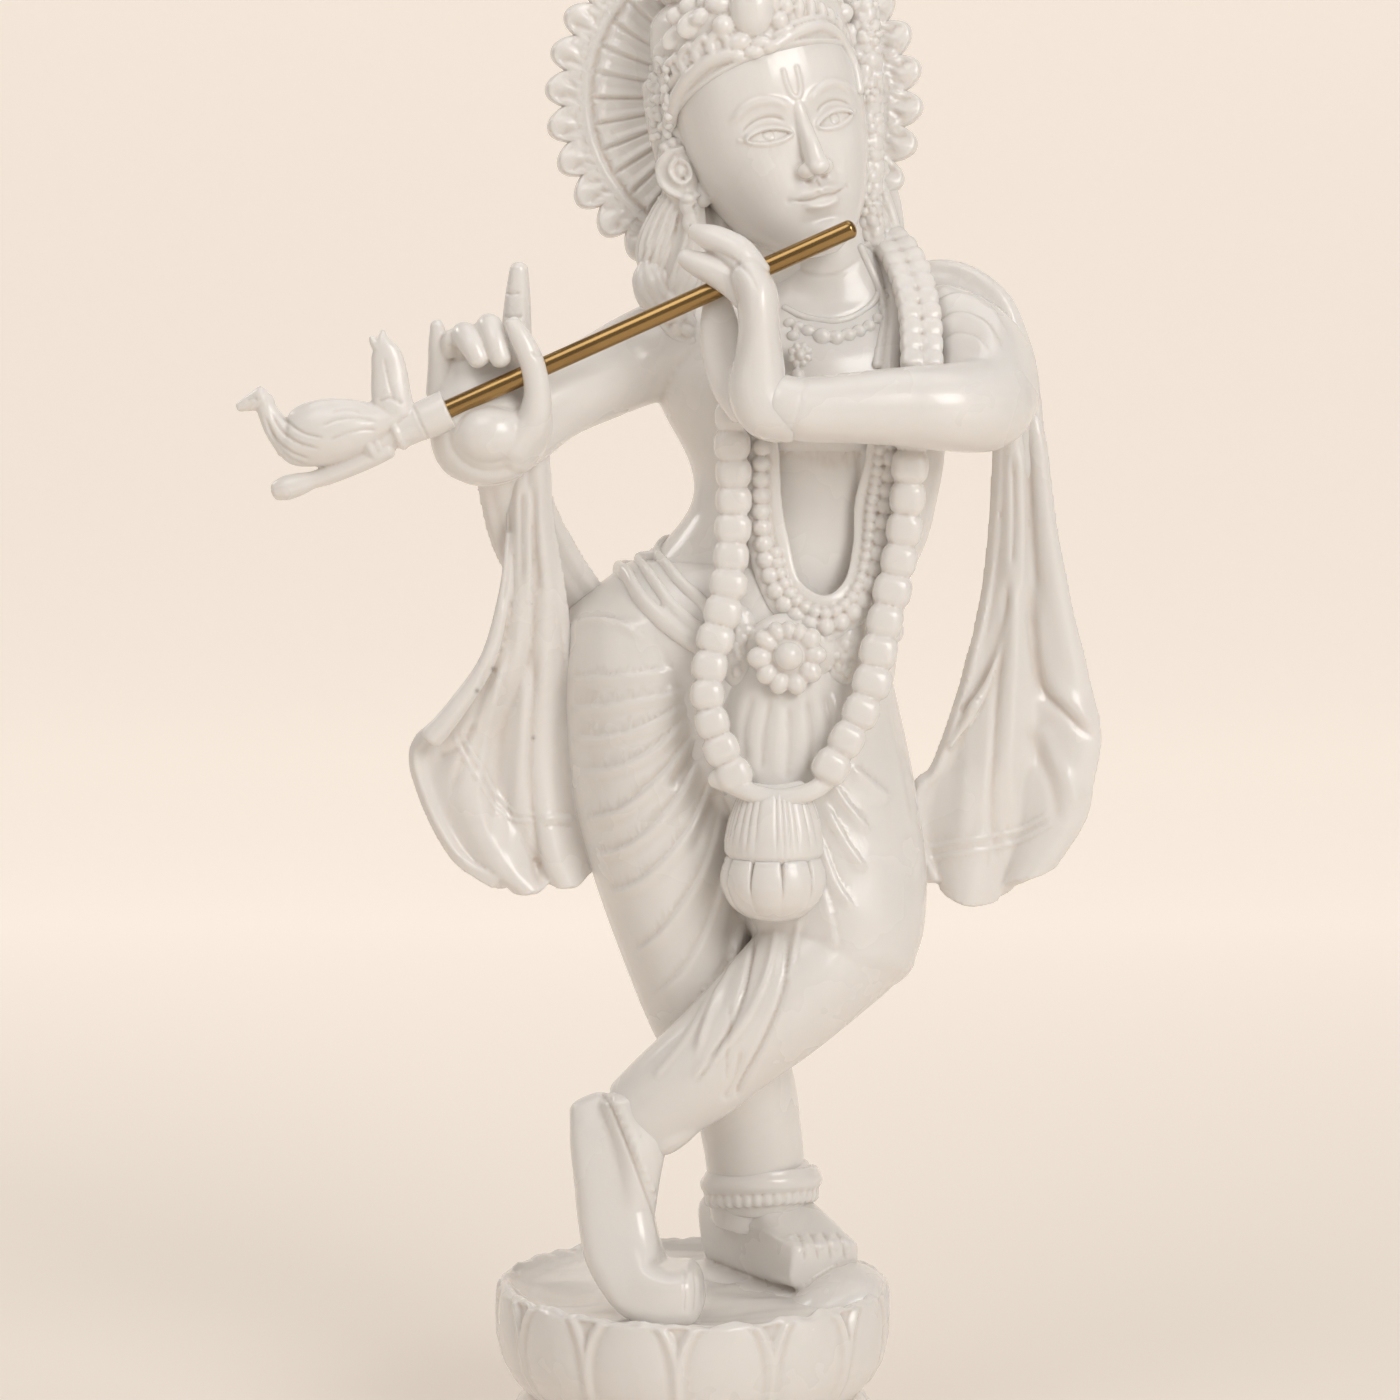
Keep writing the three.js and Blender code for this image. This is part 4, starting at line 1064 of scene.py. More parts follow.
def makeHair():
    parts = []
    for stations, count, twist in hairForm["locks"] + hairForm["back"]:
        parts.append(limb(stations, sides=72, rings=64, ends=(0.6, 0.8), section=fluted(count, 0.2, twist)))
    for stations, count, twist in hairForm["fan"]:
        parts.append(limb(drawn(stations), sides=96, rings=72, ends=(0.5, 0.7),
                          section=fluted(count, 0.15, twist)))
    for stations, sides, rings in hairForm["front"]:
        parts.append(limb(drawn(stations), sides, rings, (0.6, 0.7)))
    for side in (-1, 1):
        stations = [[side * across, *rest] for across, *rest in hairForm["strip"]]
        folds = fluted(9, 0.13 + 0.07 * side, 7 * side)
        parts.append(onHead(limb(stations, sides=64, rings=56, section=folds)))
    for x, y, z, size in hairForm["earring"]:
        flower = rosette((0, 0, 0), size, 6, out=(0.6, -0.8, 0))
        writePoints(flower, readPoints(flower) + np.array([x, y, z]) * square)
        parts.append(onHead(flower))
    hair = fuse("hair", parts, 0.62, 2)
    carveStrokes(hair, hairForm["earStrokes"])
    rng = np.random.default_rng(5)
    lumps = list(hairForm["earLumps"])
    for _ in range(26):
        size = rng.uniform(4, 8)
        lumps.append((rng.uniform(644, 670), rng.uniform(70, 150), size, size * rng.uniform(0.5, 0.9),
                      rng.uniform(0, 180),
                      rng.uniform(0.3, 0.8)))
    for row in range(21):
        for column in range(3):
            across = 855 + 12 * (column + 0.5 * (row % 2)) + rng.uniform(-3, 3)
            down = 4 + 11.5 * row + rng.uniform(-3, 3)
            size = rng.uniform(4.5, 8.5)
            lumps.append((across, down, size, size * rng.uniform(0.6, 1.0), rng.uniform(0, 180),
                          rng.uniform(0.6, 1.3)))
    for down in (34, 92, 150, 204):
        across = 866 + 5 * math.sin(down / 30)
        for k in range(6):
            angle = math.pi * k / 3
            lumps.append((across + 8 * math.cos(angle), down + 8 * math.sin(angle), 5, 4, math.degrees(angle),
                          1.6))
        lumps.append((across, down, 4, 4, 0, 1.8))
    carveLumps(hair, lumps)
    return setDown(hair, marble)


# hands

handForm = {
    # drawn on the sheet: across, down, depth, half width, half depth
    "left": [
        ([[792, 411, -166, 32, 30], [768, 408, -166, 32, 29.5], [758, 388, -167, 30, 29],
          [759, 362, -169, 25.5, 28],
          [759, 338, -170, 21.5, 29], [759, 316, -171, 21, 31], [757, 294, -168, 21, 31],
          [750, 278, -160, 19, 28]], 1),
        ([[756, 276, -160, 17], [740, 254, -158, 16.5], [722, 242, -152, 14.5], [706, 236, -147, 12.5],
          [695, 231, -143, 8.5]], 0),
        ([[752, 296, -156, 20], [734, 282, -152, 17], [715, 271, -147, 15.5], [698, 264, -142, 13],
          [685, 258, -138, 9.5]], 0),
        ([[752, 406, -146, 26, 20], [734, 382, -138, 24, 16], [724, 352, -132, 22.5, 12],
          [719, 322, -128, 19, 10],
          [717, 300, -126, 14, 8]], 1),
    ],
    "right": [
        ([[489, 470, -104, 36, 26], [488, 456, -112, 54, 36], [489, 430, -116, 60, 38],
          [490, 396, -108, 57, 26],
          [488, 366, -102, 50, 18], [486, 348, -100, 44, 14]], 1),
        ([[441, 394, -100, 15.5], [441, 366, -104, 13.5], [439, 345, -108, 11], [437, 325, -112, 7]], 0),
        ([[450, 352, -112, 9], [450, 342, -120, 8.5], [450, 334, -122, 6]], 0),
        ([[513, 374, -104, 18], [516, 342, -107, 16], [517, 316, -110, 14.5], [518, 292, -113, 12.5],
          [519, 269, -116, 9.5]], 0),
        ([[462, 350, -104, 14], [464, 335, -122, 13.5], [471, 344, -138, 13], [479, 359, -143, 11]], 0),
        ([[487, 344, -104, 14], [489, 326, -128, 13], [495, 340, -142, 12.5], [501, 359, -146, 11]], 0),
        ([[511, 321, -150, 8], [520, 337, -152, 11], [530, 357, -152, 12.5], [536, 380, -150, 13],
          [537, 402, -147, 15], [532, 424, -140, 19], [514, 444, -132, 24]], 0),
        ([[540, 410, -140, 13, 12], [534, 432, -134, 19, 17], [514, 452, -124, 27, 24]], 0),
        ([[462, 440, -136, 17, 15], [478, 436, -142, 27, 22], [496, 434, -142, 28, 23],
          [516, 430, -136, 22, 18]], 1),
    ],
    "leftStrokes": [
        ([(700, 250), (721, 254), (738, 264), (753, 278), (761, 296)], 3.0, -0.7, "ridge"),
        ([(786, 440), (797, 418), (803, 396), (806, 374)], 2.0, -0.4, "ridge"),
    ],
    "rightStrokes": [
        ([(447, 424), (452, 448), (466, 464), (490, 472), (516, 464)], 4, -0.8, "ridge"),
        ([(503, 292), (512, 294), (521, 292)], 1.6, -0.6, "ridge"),
        ([(502, 316), (512, 318), (524, 316)], 1.6, -0.6, "ridge"),
        ([(446, 345), (454, 347)], 1.6, -0.4, "ridge"),
        ([(531, 352), (538, 356), (546, 354)], 1.8, -0.4, "ridge"),
    ],
    "voxel": 0.6,
}


def makeHand(which):
    parts = []
    for stations, broad in handForm[which]:
        facing = (0, 1, 0) if broad else (0, 0, 1)
        parts.append(limb(drawn(stations), sides=32, rings=48, ends=(0.4, 0.8), facing=facing))
    hand = fuse(which + "Hand", parts, handForm["voxel"], 6)
    carveStrokes(hand, handForm[which + "Strokes"])
    return setDown(hand, marble)


# feet and anklets

footForm = {
    # drawn on the sheet
    "raised": [
        [[592, 1106, -70, 22, 30], [603, 1135, -80, 33, 38], [611, 1175, -90, 37, 40],
         [616, 1215, -98, 38, 40],
         [624, 1252, -108, 38, 42], [640, 1282, -120, 33, 46], [664, 1293, -128, 31, 48],
         [688, 1292, -130, 29, 48]],
        [[632, 1104, -96, 32, 32], [637, 1140, -100, 30, 34], [636, 1180, -104, 24, 32],
         [630, 1222, -106, 24, 30]],
    ],
    "flat": [
        [41, 110, 218, 40, 38], [60, 83, 225, 41, 44], [83, 52, 222, 41, 43], [104, 22, 216, 42, 36],
        [121, -6, 211, 42, 28], [132, -24, 208, 41, 24],
    ],
    "rock": [
        [[704, 1282, 96, 24, 50], [736, 1296, 60, 27, 58], [786, 1312, 8, 29, 66], [826, 1316, -10, 36, 74],
         [860, 1312, -18, 38, 72], [876, 1312, -20, 30, 52]],
        [[768, 1320, 4, 12, 44], [800, 1309, -14, 20, 56], [830, 1301, -26, 29, 62], [855, 1296, -28, 32, 56],
         [873, 1301, -24, 26, 42]],
    ],
    # strokes on the front sheet
    "strap": [
        ([(596, 1084), (611, 1108), (625, 1142), (640, 1180), (654, 1212)], 1.8, -0.8, "hard"),
        ([(605, 1084), (619, 1106), (633, 1138), (646, 1172), (656, 1204)], 4.0, 0.6, "ridge"),
        ([(650, 1222), (672, 1246), (702, 1264)], 3, 0.5, "ridge"),
        ([(684, 1262), (686, 1290), (684, 1316)], 1.6, -0.5, "ridge"),
        ([(694, 1264), (696, 1290), (694, 1316)], 1.6, -0.4, "ridge"),
    ],
    # across the sheet: the gaps between the toes and the toes' backs; then the foot's outer edge
    "toeGaps": (806, 819, 832, 846), "toeBacks": (799, 812, 825, 838, 851),
    "edge": ([(736, 1217), (764, 1232), (792, 1247)], 3.0, 0.5, "ridge"),
    "voxel": 0.8, "reach": 0.0748,
}


def blockSection(angle, along):
    # a rounded square section
    power = 0.5
    c, s = np.cos(angle), np.sin(angle)
    return np.sign(c) * np.abs(c) ** power, np.sign(s) * np.abs(s) ** power


def makeRaisedFoot():
    foot, bridge = footForm["raised"]
    parts = [limb(drawn(foot), 48, 64, (0.5, 0.6), section=blockSection, cap=0.08)]
    parts.append(limb(drawn(bridge), 32, 40, (0.6, 0.6)))
    raised = fuse("raisedFoot", parts, footForm["voxel"], 8)
    carveStrokes(raised, footForm["strap"])
    beads = [(614 + 4.3 * k, 1103 + 9.6 * k, 3.2, 3.6, 20, 0.5) for k in range(11)]
    carveLumps(raised, beads)
    return setDown(raised, marble)


def makeFlatFoot():
    parts = [limb(footForm["flat"], 64, 72, (0.5, 0.25), (0, 0, 1), section=blockSection, cap=0.07)]
    for rock in footForm["rock"]:
        parts.append(limb(drawn(rock), 48, 48, (0.6, 0.7)))
    flat = fuse("flatFoot", parts, footForm["voxel"], 6)
    # the raised ground ends flush with the plinth's rim
    points = readPoints(flat)
    away = np.hypot(points[:, 0], points[:, 1])
    points[:, :2] *= np.minimum(1, footForm["reach"] / np.maximum(away, 1e-6))[:, None]
    writePoints(flat, points)
    strokes = [([(x - 11, 1230), (x - 4, 1243), (x, 1262)], 1.5, -0.7, "ridge") for x in footForm["toeGaps"]]
    strokes += [([(x - 10, 1234), (x - 3, 1250)], 5.0, 0.6, "ridge") for x in footForm["toeBacks"]]
    carveStrokes(flat, strokes + [footForm["edge"]])
    return setDown(flat, marble)


ankletForm = {
    # middle of the shin; radius, height and half sizes of the roll and of the lip above it
    "middle": (70, 55), "roll": (54, 276, 9, 10), "lip": (55, 286, 3.2, 4),
    # the row's count, radius and height, and each bead's half width, depth and height
    "beads": (34, 53, 261), "bead": (5.6, 6.5, 9),
    # radius and height of the sleeve under them
    "sleeve": [(0, 244), (40, 246), (48, 254), (52, 268), (50, 286), (44, 298), (0, 302)],
    "voxel": 0.7, "relax": 5,
}


def ankletSpot(angle, radius, level):
    # a place on the ring, which is tilted and a little flattened from front to back
    x, y = ankletForm["middle"]
    c, s = math.cos(angle), math.sin(angle)
    return np.array([x + radius * c, y + (radius - 2) * s, level - 8 * s + 3 * c])


def makeAnklet():
    form = ankletForm
    parts = []
    for name, sides in (("roll", 20), ("lip", 12)):
        radius, level, half, tall = form[name]
        ring = [[*ankletSpot(2 * math.pi * k / 60, radius, level), half, tall] for k in range(61)]
        parts.append(limb(ring, sides, 240, (0.2, 0.2), (0, 0, 1), cap=0.01))
    count, radius, level = form["beads"]
    half, deep, tall = form["bead"]
    up = np.array([0, 0, 1.0])
    frames = []
    for k in range(count):
        angle = 2 * math.pi * k / count
        out = np.array([math.cos(angle), math.sin(angle), 0.0])
        frames.append((ankletSpot(angle, radius, level), np.cross(out, up) * half, out * deep, up * tall))
    parts.append(strew("beads", unitBall(14, 12, 2.6), frames))
    parts.append(turned((*form["middle"], 0), form["sleeve"], 48, 32))
    return setDown(fuse("anklet", parts, form["voxel"], form["relax"]), marble)


# scarf

scarfForm = {
    "left": {
        "edges": [
            [[-176, -62, 1034], [-179, -60, 960], [-182, -58, 900], [-202, -54, 821], [-242, -50, 769],
             [-278, -46, 733],
             [-270, -46, 682], [-239, -46, 622], [-198, -46, 592]],
            [[-145, -62, 1034], [-140, -60, 960], [-129, -50, 890], [-122, -34, 840], [-118, -24, 790],
             [-114, -20, 740],
             [-110, -18, 690], [-100, -16, 646], [-90, -16, 608]],
        ],
        "waves": 2.5, "depth": 8,
        # the hem, drawn on the sheet from one corner to the other
        "hem": [(495, 884), (512, 889), (528, 893), (541, 891), (551, 881), (561, 886), (575, 887),
                (588, 875), (602, 868)],
        "hemDepth": (-46, -16),
        "roll": [[-181, -60, 948, 3, 4], [-185, -62, 890, 6, 6], [-201, -64, 824, 8.5, 9],
                 [-232, -66, 776, 10.5, 10],
                 [-258, -64, 744, 12, 11]],
        "strokes": [
            ([(522, 486), (521, 530), (522, 590)], 3.4, -0.9, "ridge"),
            ([(508, 500), (508, 560), (503, 612)], 3.0, -0.8, "ridge"),
            ([(534, 478), (535, 540), (540, 600)], 3.4, -0.9, "ridge"),
            ([(528, 480), (529, 560), (528, 660)], 3.0, 0.8, "ridge"),
            ([(514, 600), (508, 680), (498, 760), (492, 850)], 6, -1.0, "ridge"),
            ([(532, 640), (533, 700), (531, 780), (536, 860), (546, 890)], 5.4, -1.9, "ridge"),
            ([(524, 640), (524, 720), (517, 800), (516, 880)], 8, 1.1, "ridge"),
            ([(547, 620), (549, 720), (552, 820), (560, 880)], 9, 1.1, "ridge"),
            ([(498, 640), (480, 700), (462, 760), (450, 800)], 5, -0.8, "ridge"),
            ([(505, 650), (488, 730), (476, 800)], 4, 0.7, "ridge"),
            ([(478, 722), (458, 748), (434, 758)], 5, -1.2, "ridge"),
            ([(454, 738), (474, 772), (504, 814), (532, 822)], 1.5, 0.5, "hard"),
            ([(461, 734), (481, 767), (508, 806), (534, 815)], 1.5, 0.5, "hard"),
            ([(540, 820), (556, 817), (574, 818)], 3.0, 0.9, "ridge"),
            ([(540, 827), (556, 825), (574, 826)], 1.4, -0.5, "ridge"),
        ],
    },
    "right": {
        "edges": [
            [[300, 10, 1124], [302, 3, 1040], [296, 0, 926], [284, -3, 850], [270, -6, 796], [242, -8, 712],
             [222, -10, 686],
             [220, -10, 634], [240, -12, 584]],
            [[326, 12, 1124], [347, 3, 1040], [358, 0, 960], [374, -2, 878], [392, -4, 806], [406, -6, 743],
             [400, -8, 700],
             [392, -10, 660], [360, -12, 610]],
        ],
        "waves": 2, "depth": 9,
        "hem": [(931, 882), (940, 886), (950, 897), (966, 905), (985, 904), (1000, 899), (1012, 885),
                (1030, 878), (1052, 866)],
        "hemDepth": (-12, -12),
        "roll": [[309, -6, 850, 3, 5], [300, -8, 812, 4, 6], [280, -10, 770, 4, 6], [256, -11, 730, 3, 5]],
        "strokes": [
            ([(1012, 450), (1014, 520), (1012, 570)], 3.0, -1.0, "ridge"),
            ([(1028, 440), (1032, 520), (1038, 600)], 3.2, -0.8, "ridge"),
            ([(1020, 440), (1022, 520), (1022, 600)], 3.6, 0.8, "ridge"),
            ([(1008, 570), (1004, 620), (996, 700), (994, 800), (1003, 880)], 5, -1.8, "ridge"),
            ([(1016, 580), (1014, 660), (1010, 760), (1014, 850)], 7, 1.2, "ridge"),
            ([(1030, 580), (1034, 640), (1042, 686), (1064, 712), (1098, 742)], 5.4, -2.0, "ridge"),
            ([(1036, 590), (1042, 640), (1054, 682), (1076, 708), (1098, 730)], 9, 1.2, "ridge"),
            ([(1026, 720), (1040, 758), (1052, 790), (1060, 830)], 7, -1.3, "ridge"),
            ([(1042, 720), (1054, 754), (1070, 786), (1078, 810)], 8, 1.1, "ridge"),
            ([(1000, 610), (990, 660), (972, 696), (950, 720)], 4, -1.0, "ridge"),
            ([(1008, 606), (1000, 650), (984, 692), (966, 716)], 4, 1.0, "ridge"),
            ([(975, 620), (972, 700), (966, 780), (960, 860)], 8, 0.9, "ridge"),
            ([(932, 858), (960, 853), (990, 849), (1020, 840), (1050, 824)], 1.5, 0.6, "hard"),
            ([(932, 846), (960, 841), (990, 837), (1020, 829), (1046, 815)], 1.5, 0.6, "hard"),
        ],
    },
    "thick": 13, "voxel": 0.85, "pits": [(493, 669, 1.8), (477, 691, 1.6), (533, 738, 1.3)],
}


def corner(form, side):
    return np.array(form["edges"][side][-1], float)


def makeScarf(which):
    form = scarfForm[which]
    bpy.ops.mesh.primitive_grid_add(x_subdivisions=64, y_subdivisions=120, size=2)
    cloth = bpy.context.object
    flat = readPoints(cloth)
    u, v = (flat[:, 0] + 1) / 2, (1 - flat[:, 1]) / 2
    first, second = (smoothPath(edge, v) for edge in form["edges"])
    points = first + (second - first) * u[:, None]
    points[:, 1] += form["depth"] * (0.35 + 0.65 * v) * np.sin(2 * math.pi * form["waves"] * u)
    # the hem's own outline draws the lower part of the cloth down
    depths = np.linspace(*form["hemDepth"], len(form["hem"]))
    hem = np.array([fromSheet(spot, depth)[0] for spot, depth in zip(form["hem"], depths)])
    reach = smoothPath(hem, u) - (corner(form, 0) * (1 - u)[:, None] + corner(form, 1) * u[:, None])
    points += reach * (v ** 4)[:, None] * [1, 0, 1]
    writePoints(cloth, points * square)
    solidify = cloth.modifiers.new("Solidify", "SOLIDIFY")
    solidify.thickness = scarfForm["thick"] * square
    solidify.offset = 0
    useModifiers(cloth)
    cloth = fuse(which + "Scarf", [cloth, limb(form["roll"], 24, 40, (0.4, 0.4))], scarfForm["voxel"], 6)
    carveStrokes(cloth, form["strokes"])
    backFolds = [(line, width * 1.4, height * 0.7, kind) for line, width, height,
                 kind in form["strokes"] if width > 4]
    carveStrokes(cloth, backFolds, behind=True)
    if which == "left":
        addPits(cloth)
    return setDown(cloth, marble)


def addPits(cloth):
    # three small natural pits in the stone, with a grey stain in each
    carveStrokes(cloth, [([(x, y - 1), (x + 1, y + 1)], size, -0.35 * size, "hard") for x, y,
                         size in scarfForm["pits"]])
    points, normals = readPoints(cloth), readNormals(cloth)
    sheet = onSheet(points)
    stain = np.zeros(len(points))
    for x, y, size in scarfForm["pits"]:
        stain = np.maximum(stain, 0.8 * bell(np.hypot(sheet[:, 0] - x, sheet[:, 1] - y) / (size * 1.3)))
    stain = stain * (normals[:, 1] < 0)
    marks = cloth.data.attributes.new("stain", "FLOAT", "POINT")
    marks.data.foreach_set("value", stain.astype(np.float32))


sashForm = {
    # over the shoulder, then across the back to the other forearm, each with its count and depth of folds
    "shoulder": [
        [190, 28, 1170, 26, 12, -30], [246, 24, 1182, 34, 12, 0], [294, 14, 1166, 29, 13, 38],
        [320, 8, 1126, 22, 14, 60],
        [328, 6, 1080, 19, 11, 30], [330, 3, 1036, 20, 7, 0], [330, 2, 1000, 18, 4, 0],
        [330, 2, 970, 14, 2, 0],
    ],
    "shoulderFolds": (7, 0.12),
    "across": [
        [262, 34, 1178, 26, 14], [236, 70, 1136, 34, 14, 10], [160, 96, 1040, 39, 15], [80, 96, 950, 40, 15],
        [-20, 78, 874, 37, 14, -15], [-84, 46, 852, 38, 13, -35], [-118, 14, 872, 38, 12, -30],
        [-160, -27, 936, 37, 12, -8], [-181, -60, 1008, 32, 12],
    ],
    "acrossFolds": (10, 0.16), "voxel": 0.95, "relax": 3,
}


def makeSash():
    form = sashForm
    shoulder = limb(form["shoulder"], 72, 96, (0.3, 0.3), section=fluted(*form["shoulderFolds"]))
    across = limb(form["across"], 72, 120, (0.3, 0.3), section=fluted(*form["acrossFolds"]))
    return setDown(fuse("sash", [shoulder, across], form["voxel"], form["relax"]), marble)


# belt

beltForm = {
    # each roll as drawn on the front, then how high it runs round the back, its radius
    "rolls": [
        ([(706, 650), (690, 640), (670, 626), (652, 611), (637, 594), (628, 577)], 0, 8.5),
        ([(708, 634), (690, 622), (672, 606), (658, 588), (646, 570), (638, 560)], 15, 6.5),
        ([(712, 616), (700, 600), (682, 584), (668, 567), (657, 554)], 28, 6.5),
    ],
    "round": [(192, 906), (172, 906), (150, 902), (125, 892), (100, 880), (75, 868), (50, 858), (25, 850),
              (0, 845),
              (-25, 842), (-45, 842)],
    "section": (0.7, 1.15), "voxel": 0.8, "relax": 6,
}


def makeBelt(under):
    parts = []
    for spots, lift, radius in beltForm["rolls"]:
        route = [landOn(under, spot) for spot in spots]
        rest = beltForm["round"][1 if lift > 20 else 0:]
        route += [landRound(under, degrees, level + lift) for degrees, level in rest]
        thick, tall = (radius * share for share in beltForm["section"])
        parts.append(limb([[*place, thick, tall] for place in route], 24, 240, (0.8, 0.8), (0, 0, 1),
                          cap=0.02))
    return setDown(fuse("belt", parts, beltForm["voxel"], beltForm["relax"]), marble)


# garland, necklaces, flower, tassel

strungForm = {
    "garland": [
        [221, -96, 1104], [214, -104, 1056], [210, -106, 1006], [206, -102, 956], [197, -104, 906],
        [185, -110, 857],
        [172, -120, 798], [152, -128, 755], [134, -132, 724],
    ],
    "garlandLeft": [
        [40, -128, 716], [24, -126, 750], [14, -122, 792], [20, -114, 838], [33, -106, 888],
        [38, -98, 936], [40, -98, 996], [38, -104, 1046], [40, -102, 1090],
    ],
    "shoulder": [[180, 14, 1246], [196, -14, 1232], [212, -48, 1202], [221, -78, 1160], [222, -100, 1116]],
    "inner": [
        [66, -94, 1080], [67, -96, 1035], [66, -90, 976], [72, -90, 920], [92, -96, 876], [128, -104, 858],
        [160, -96, 876], [178, -86, 920], [188, -84, 976], [192, -92, 1035], [190, -96, 1085],
    ],
    # the plain curved rim that closes the garland above the tassel
    "rim": [[22, -126, 712], [38, -130, 706], [56, -136, 699], [84, -138, 694], [114, -136, 700],
            [132, -130, 712],
            [142, -126, 722]],
    # drawn on the sheet and laid on the chest
    "strap": [(868, 240), (878, 254), (888, 276), (893, 300), (894, 325), (892, 348)],
    "shawlEdge": [(860, 246), (868, 264), (877, 284), (883, 304), (884, 324), (880, 346)],
    "collar": [(881, 284), (876, 298), (866, 309), (852, 317), (836, 321), (818, 320), (800, 315),
               (784, 307)],
    "collarPetals": [
        (884, 298, 5, 6.5, 70, 4), (883, 309, 6, 6, 60, 4), (878, 319, 6.5, 6, 45, 4.5),
        (869, 326, 6.5, 6.5, 35, 4.5),
        (859, 331, 7, 6.5, 25, 5), (848, 335, 7.5, 7, 15, 5), (836, 338, 8, 8, 5, 5.5),
        (822, 337, 9, 9, -5, 5.5),
        (808, 331, 7, 6, -15, 4.5), (798, 327, 6.5, 5.5, -20, 4), (789, 323, 6, 5, -30, 4),
        (793, 336, 6.5, 6, 0, 5),
    ],
}


def makeGarland(under):
    parts = [laid(under, strungForm["strap"], 8.5, 7, sink=-2, beyond=30),
             laid(under, strungForm["shawlEdge"], 4.5, 4.5, beyond=22)]
    cushion = unitBall(28, 20, 3.1)
    rng = np.random.default_rng(8)
    frames = []
    for name, step, width in (("garland", 31, 18.5), ("garlandLeft", 28, 18)):
        for place, across, through, along in beadFrames(strungForm[name], step, width, 15, step * 0.54):
            share = rng.uniform(0.94, 1.06)
            frames.append((place, across * share, through, along * rng.uniform(0.95, 1.03)))
    parts.append(strew("beads", cushion, frames))
    parts.append(limb([[x, y + 4, z, 18 - 8 * (k == 0), 7] for k,
                       (x, y, z) in enumerate(strungForm["shoulder"])], 24, 60))
    small = unitBall(24, 16, 4)
    frames = []
    for side in (-1, 1):
        row = beadFrames(strungForm["shoulder"], 17.5, 10.8, 10, 9.4, (0.1, -0.85, 0.5))
        for k, (place, across, through, along) in enumerate(row):
            share = min(0.6 + 0.12 * k, 1)
            frames.append((place + across * side * share * 0.95, across * share, through, along))
    parts.append(strew("blocks", small, frames))
    parts.append(limb([[*place, 9.5, 9.5] for place in strungForm["rim"]], 20, 48, (0.8, 0.8)))
    garland = fuse("garland", parts, 0.7, 4)
    return setDown(garland, marble)


def makeNecklaces(under):
    band = limb([[x, y + 5, z, 15, 6] for x, y, z in strungForm["inner"]], 16, 120, (0.2, 0.2), cap=0.03)
    parts = [band]
    frames = beadFrames(strungForm["inner"], 16, 9.6, 8.5, 8.8)
    parts.append(strew("outerRow", unitBall(16, 12), frames))
    centre = np.array([128.0, -90, 980])
    inside = []
    for place, across, through, along in beadFrames(strungForm["inner"], 11.5, 6.4, 7, 5.8):
        way = (centre - place) * [1, 0, 1]
        pull = unit(way)
        if place[2] < 925 or place[0] > 150:
            inside.append((place + pull * 13 + [0, -0.5, 0], across * 1.05, through, along * 1.05))
    parts.append(strew("innerRow", unitBall(14, 10), inside))
    strap = []
    for x, y, z in strungForm["inner"]:
        pull = unit((centre - [x, y, z]) * [1, 0, 1])
        strap.append([*(np.array([x, y + 2, z]) + pull * (24 if z < 925 or x > 150 else 15)), 6.4, 2.6])
    parts.append(limb(strap, 16, 160, (0.3, 0.3), cap=0.02))
    parts.append(laid(under, strungForm["collar"], 3.4, 3.4))
    parts.append(studs("petals", under, unitBall(20, 14), strungForm["collarPetals"]))
    parts.append(rosette((104, -98, 1122), 12, 8))
    parts.append(turned((102, -100, 1092), [(0, -16), (11, -13), (11, -2), (7, 10), (5, 15), (0, 18)], 40, 24,
                        lambda angle, run: 0.9 + 0.12 * np.abs(np.cos(7 * angle))))
    return setDown(fuse("necklaces", parts, 0.5, 1), marble)


flowerForm = {
    "centre": (93.0, -118, 831),
    # padded ground under and beside the flower: middle and half sizes
    "pads": [((146, -88, 842), (24, 12, 44)), ((44, -90, 838), (22, 12, 42)), ((96, -96, 836), (46, 16, 36))],
    # each petal's degrees round from the right, distance, half width, half length
    "petals": [
        (2, 26, 9.5, 11.5), (38, 27, 10.5, 11), (66, 25, 7.5, 9), (90, 25, 7.5, 9), (116, 26, 8.5, 10),
        (146, 26, 9, 13.5),
        (184, 28, 11, 13), (220, 27, 10.5, 11.5), (252, 28, 9.5, 11.5), (286, 28, 10, 11.5),
        (324, 26, 11, 12),
    ],
    # scrolling leaves drawn on the sheet: middle and half sizes of each field, leaves in each, and the
    # flower's own middle and radius, which they keep clear of
    "fields": [(746, 632, 14, 42), (842, 632, 16, 44), (838, 684, 12, 14)], "leaves": 18,
    "clear": (787, 655, 44),
}


def makeFlower():
    form = flowerForm
    centre = np.array(form["centre"])
    parts = [egg(centre + [0, -6, 0], (14, 13, 14), 32, 24)]
    parts += [egg(middle, size, 32, 24) for middle, size in form["pads"]]
    parts.append(egg(centre + [0, 2, 0], (30, 8, 30), 32, 24))
    out = np.array([0.0, -1.0, 0.0])
    frames = []
    for degrees, away, half, length in form["petals"]:
        angle = math.radians(degrees)
        way = np.array([math.cos(angle), 0, math.sin(angle)])
        frames.append((centre + way * away, np.cross(way, out) * half, out * 10, way * length))
    parts.append(strew("petals", unitBall(24, 16), frames))
    flower = fuse("flower", parts, 0.5, 1)
    rng = np.random.default_rng(3)
    lumps = []
    for across, down, wide, tall in form["fields"]:
        for leaf in range(form["leaves"]):
            size = rng.uniform(4, 7)
            lumps.append((across + rng.uniform(-wide, wide), down + rng.uniform(-tall, tall), size,
                          size * rng.uniform(0.55, 0.9), rng.uniform(0, 180), rng.uniform(0.35, 0.8)))
    x, y, clear = form["clear"]
    carveLumps(flower, [lump for lump in lumps if math.hypot(lump[0] - x, lump[1] - y) > clear])
    return setDown(flower, marble)


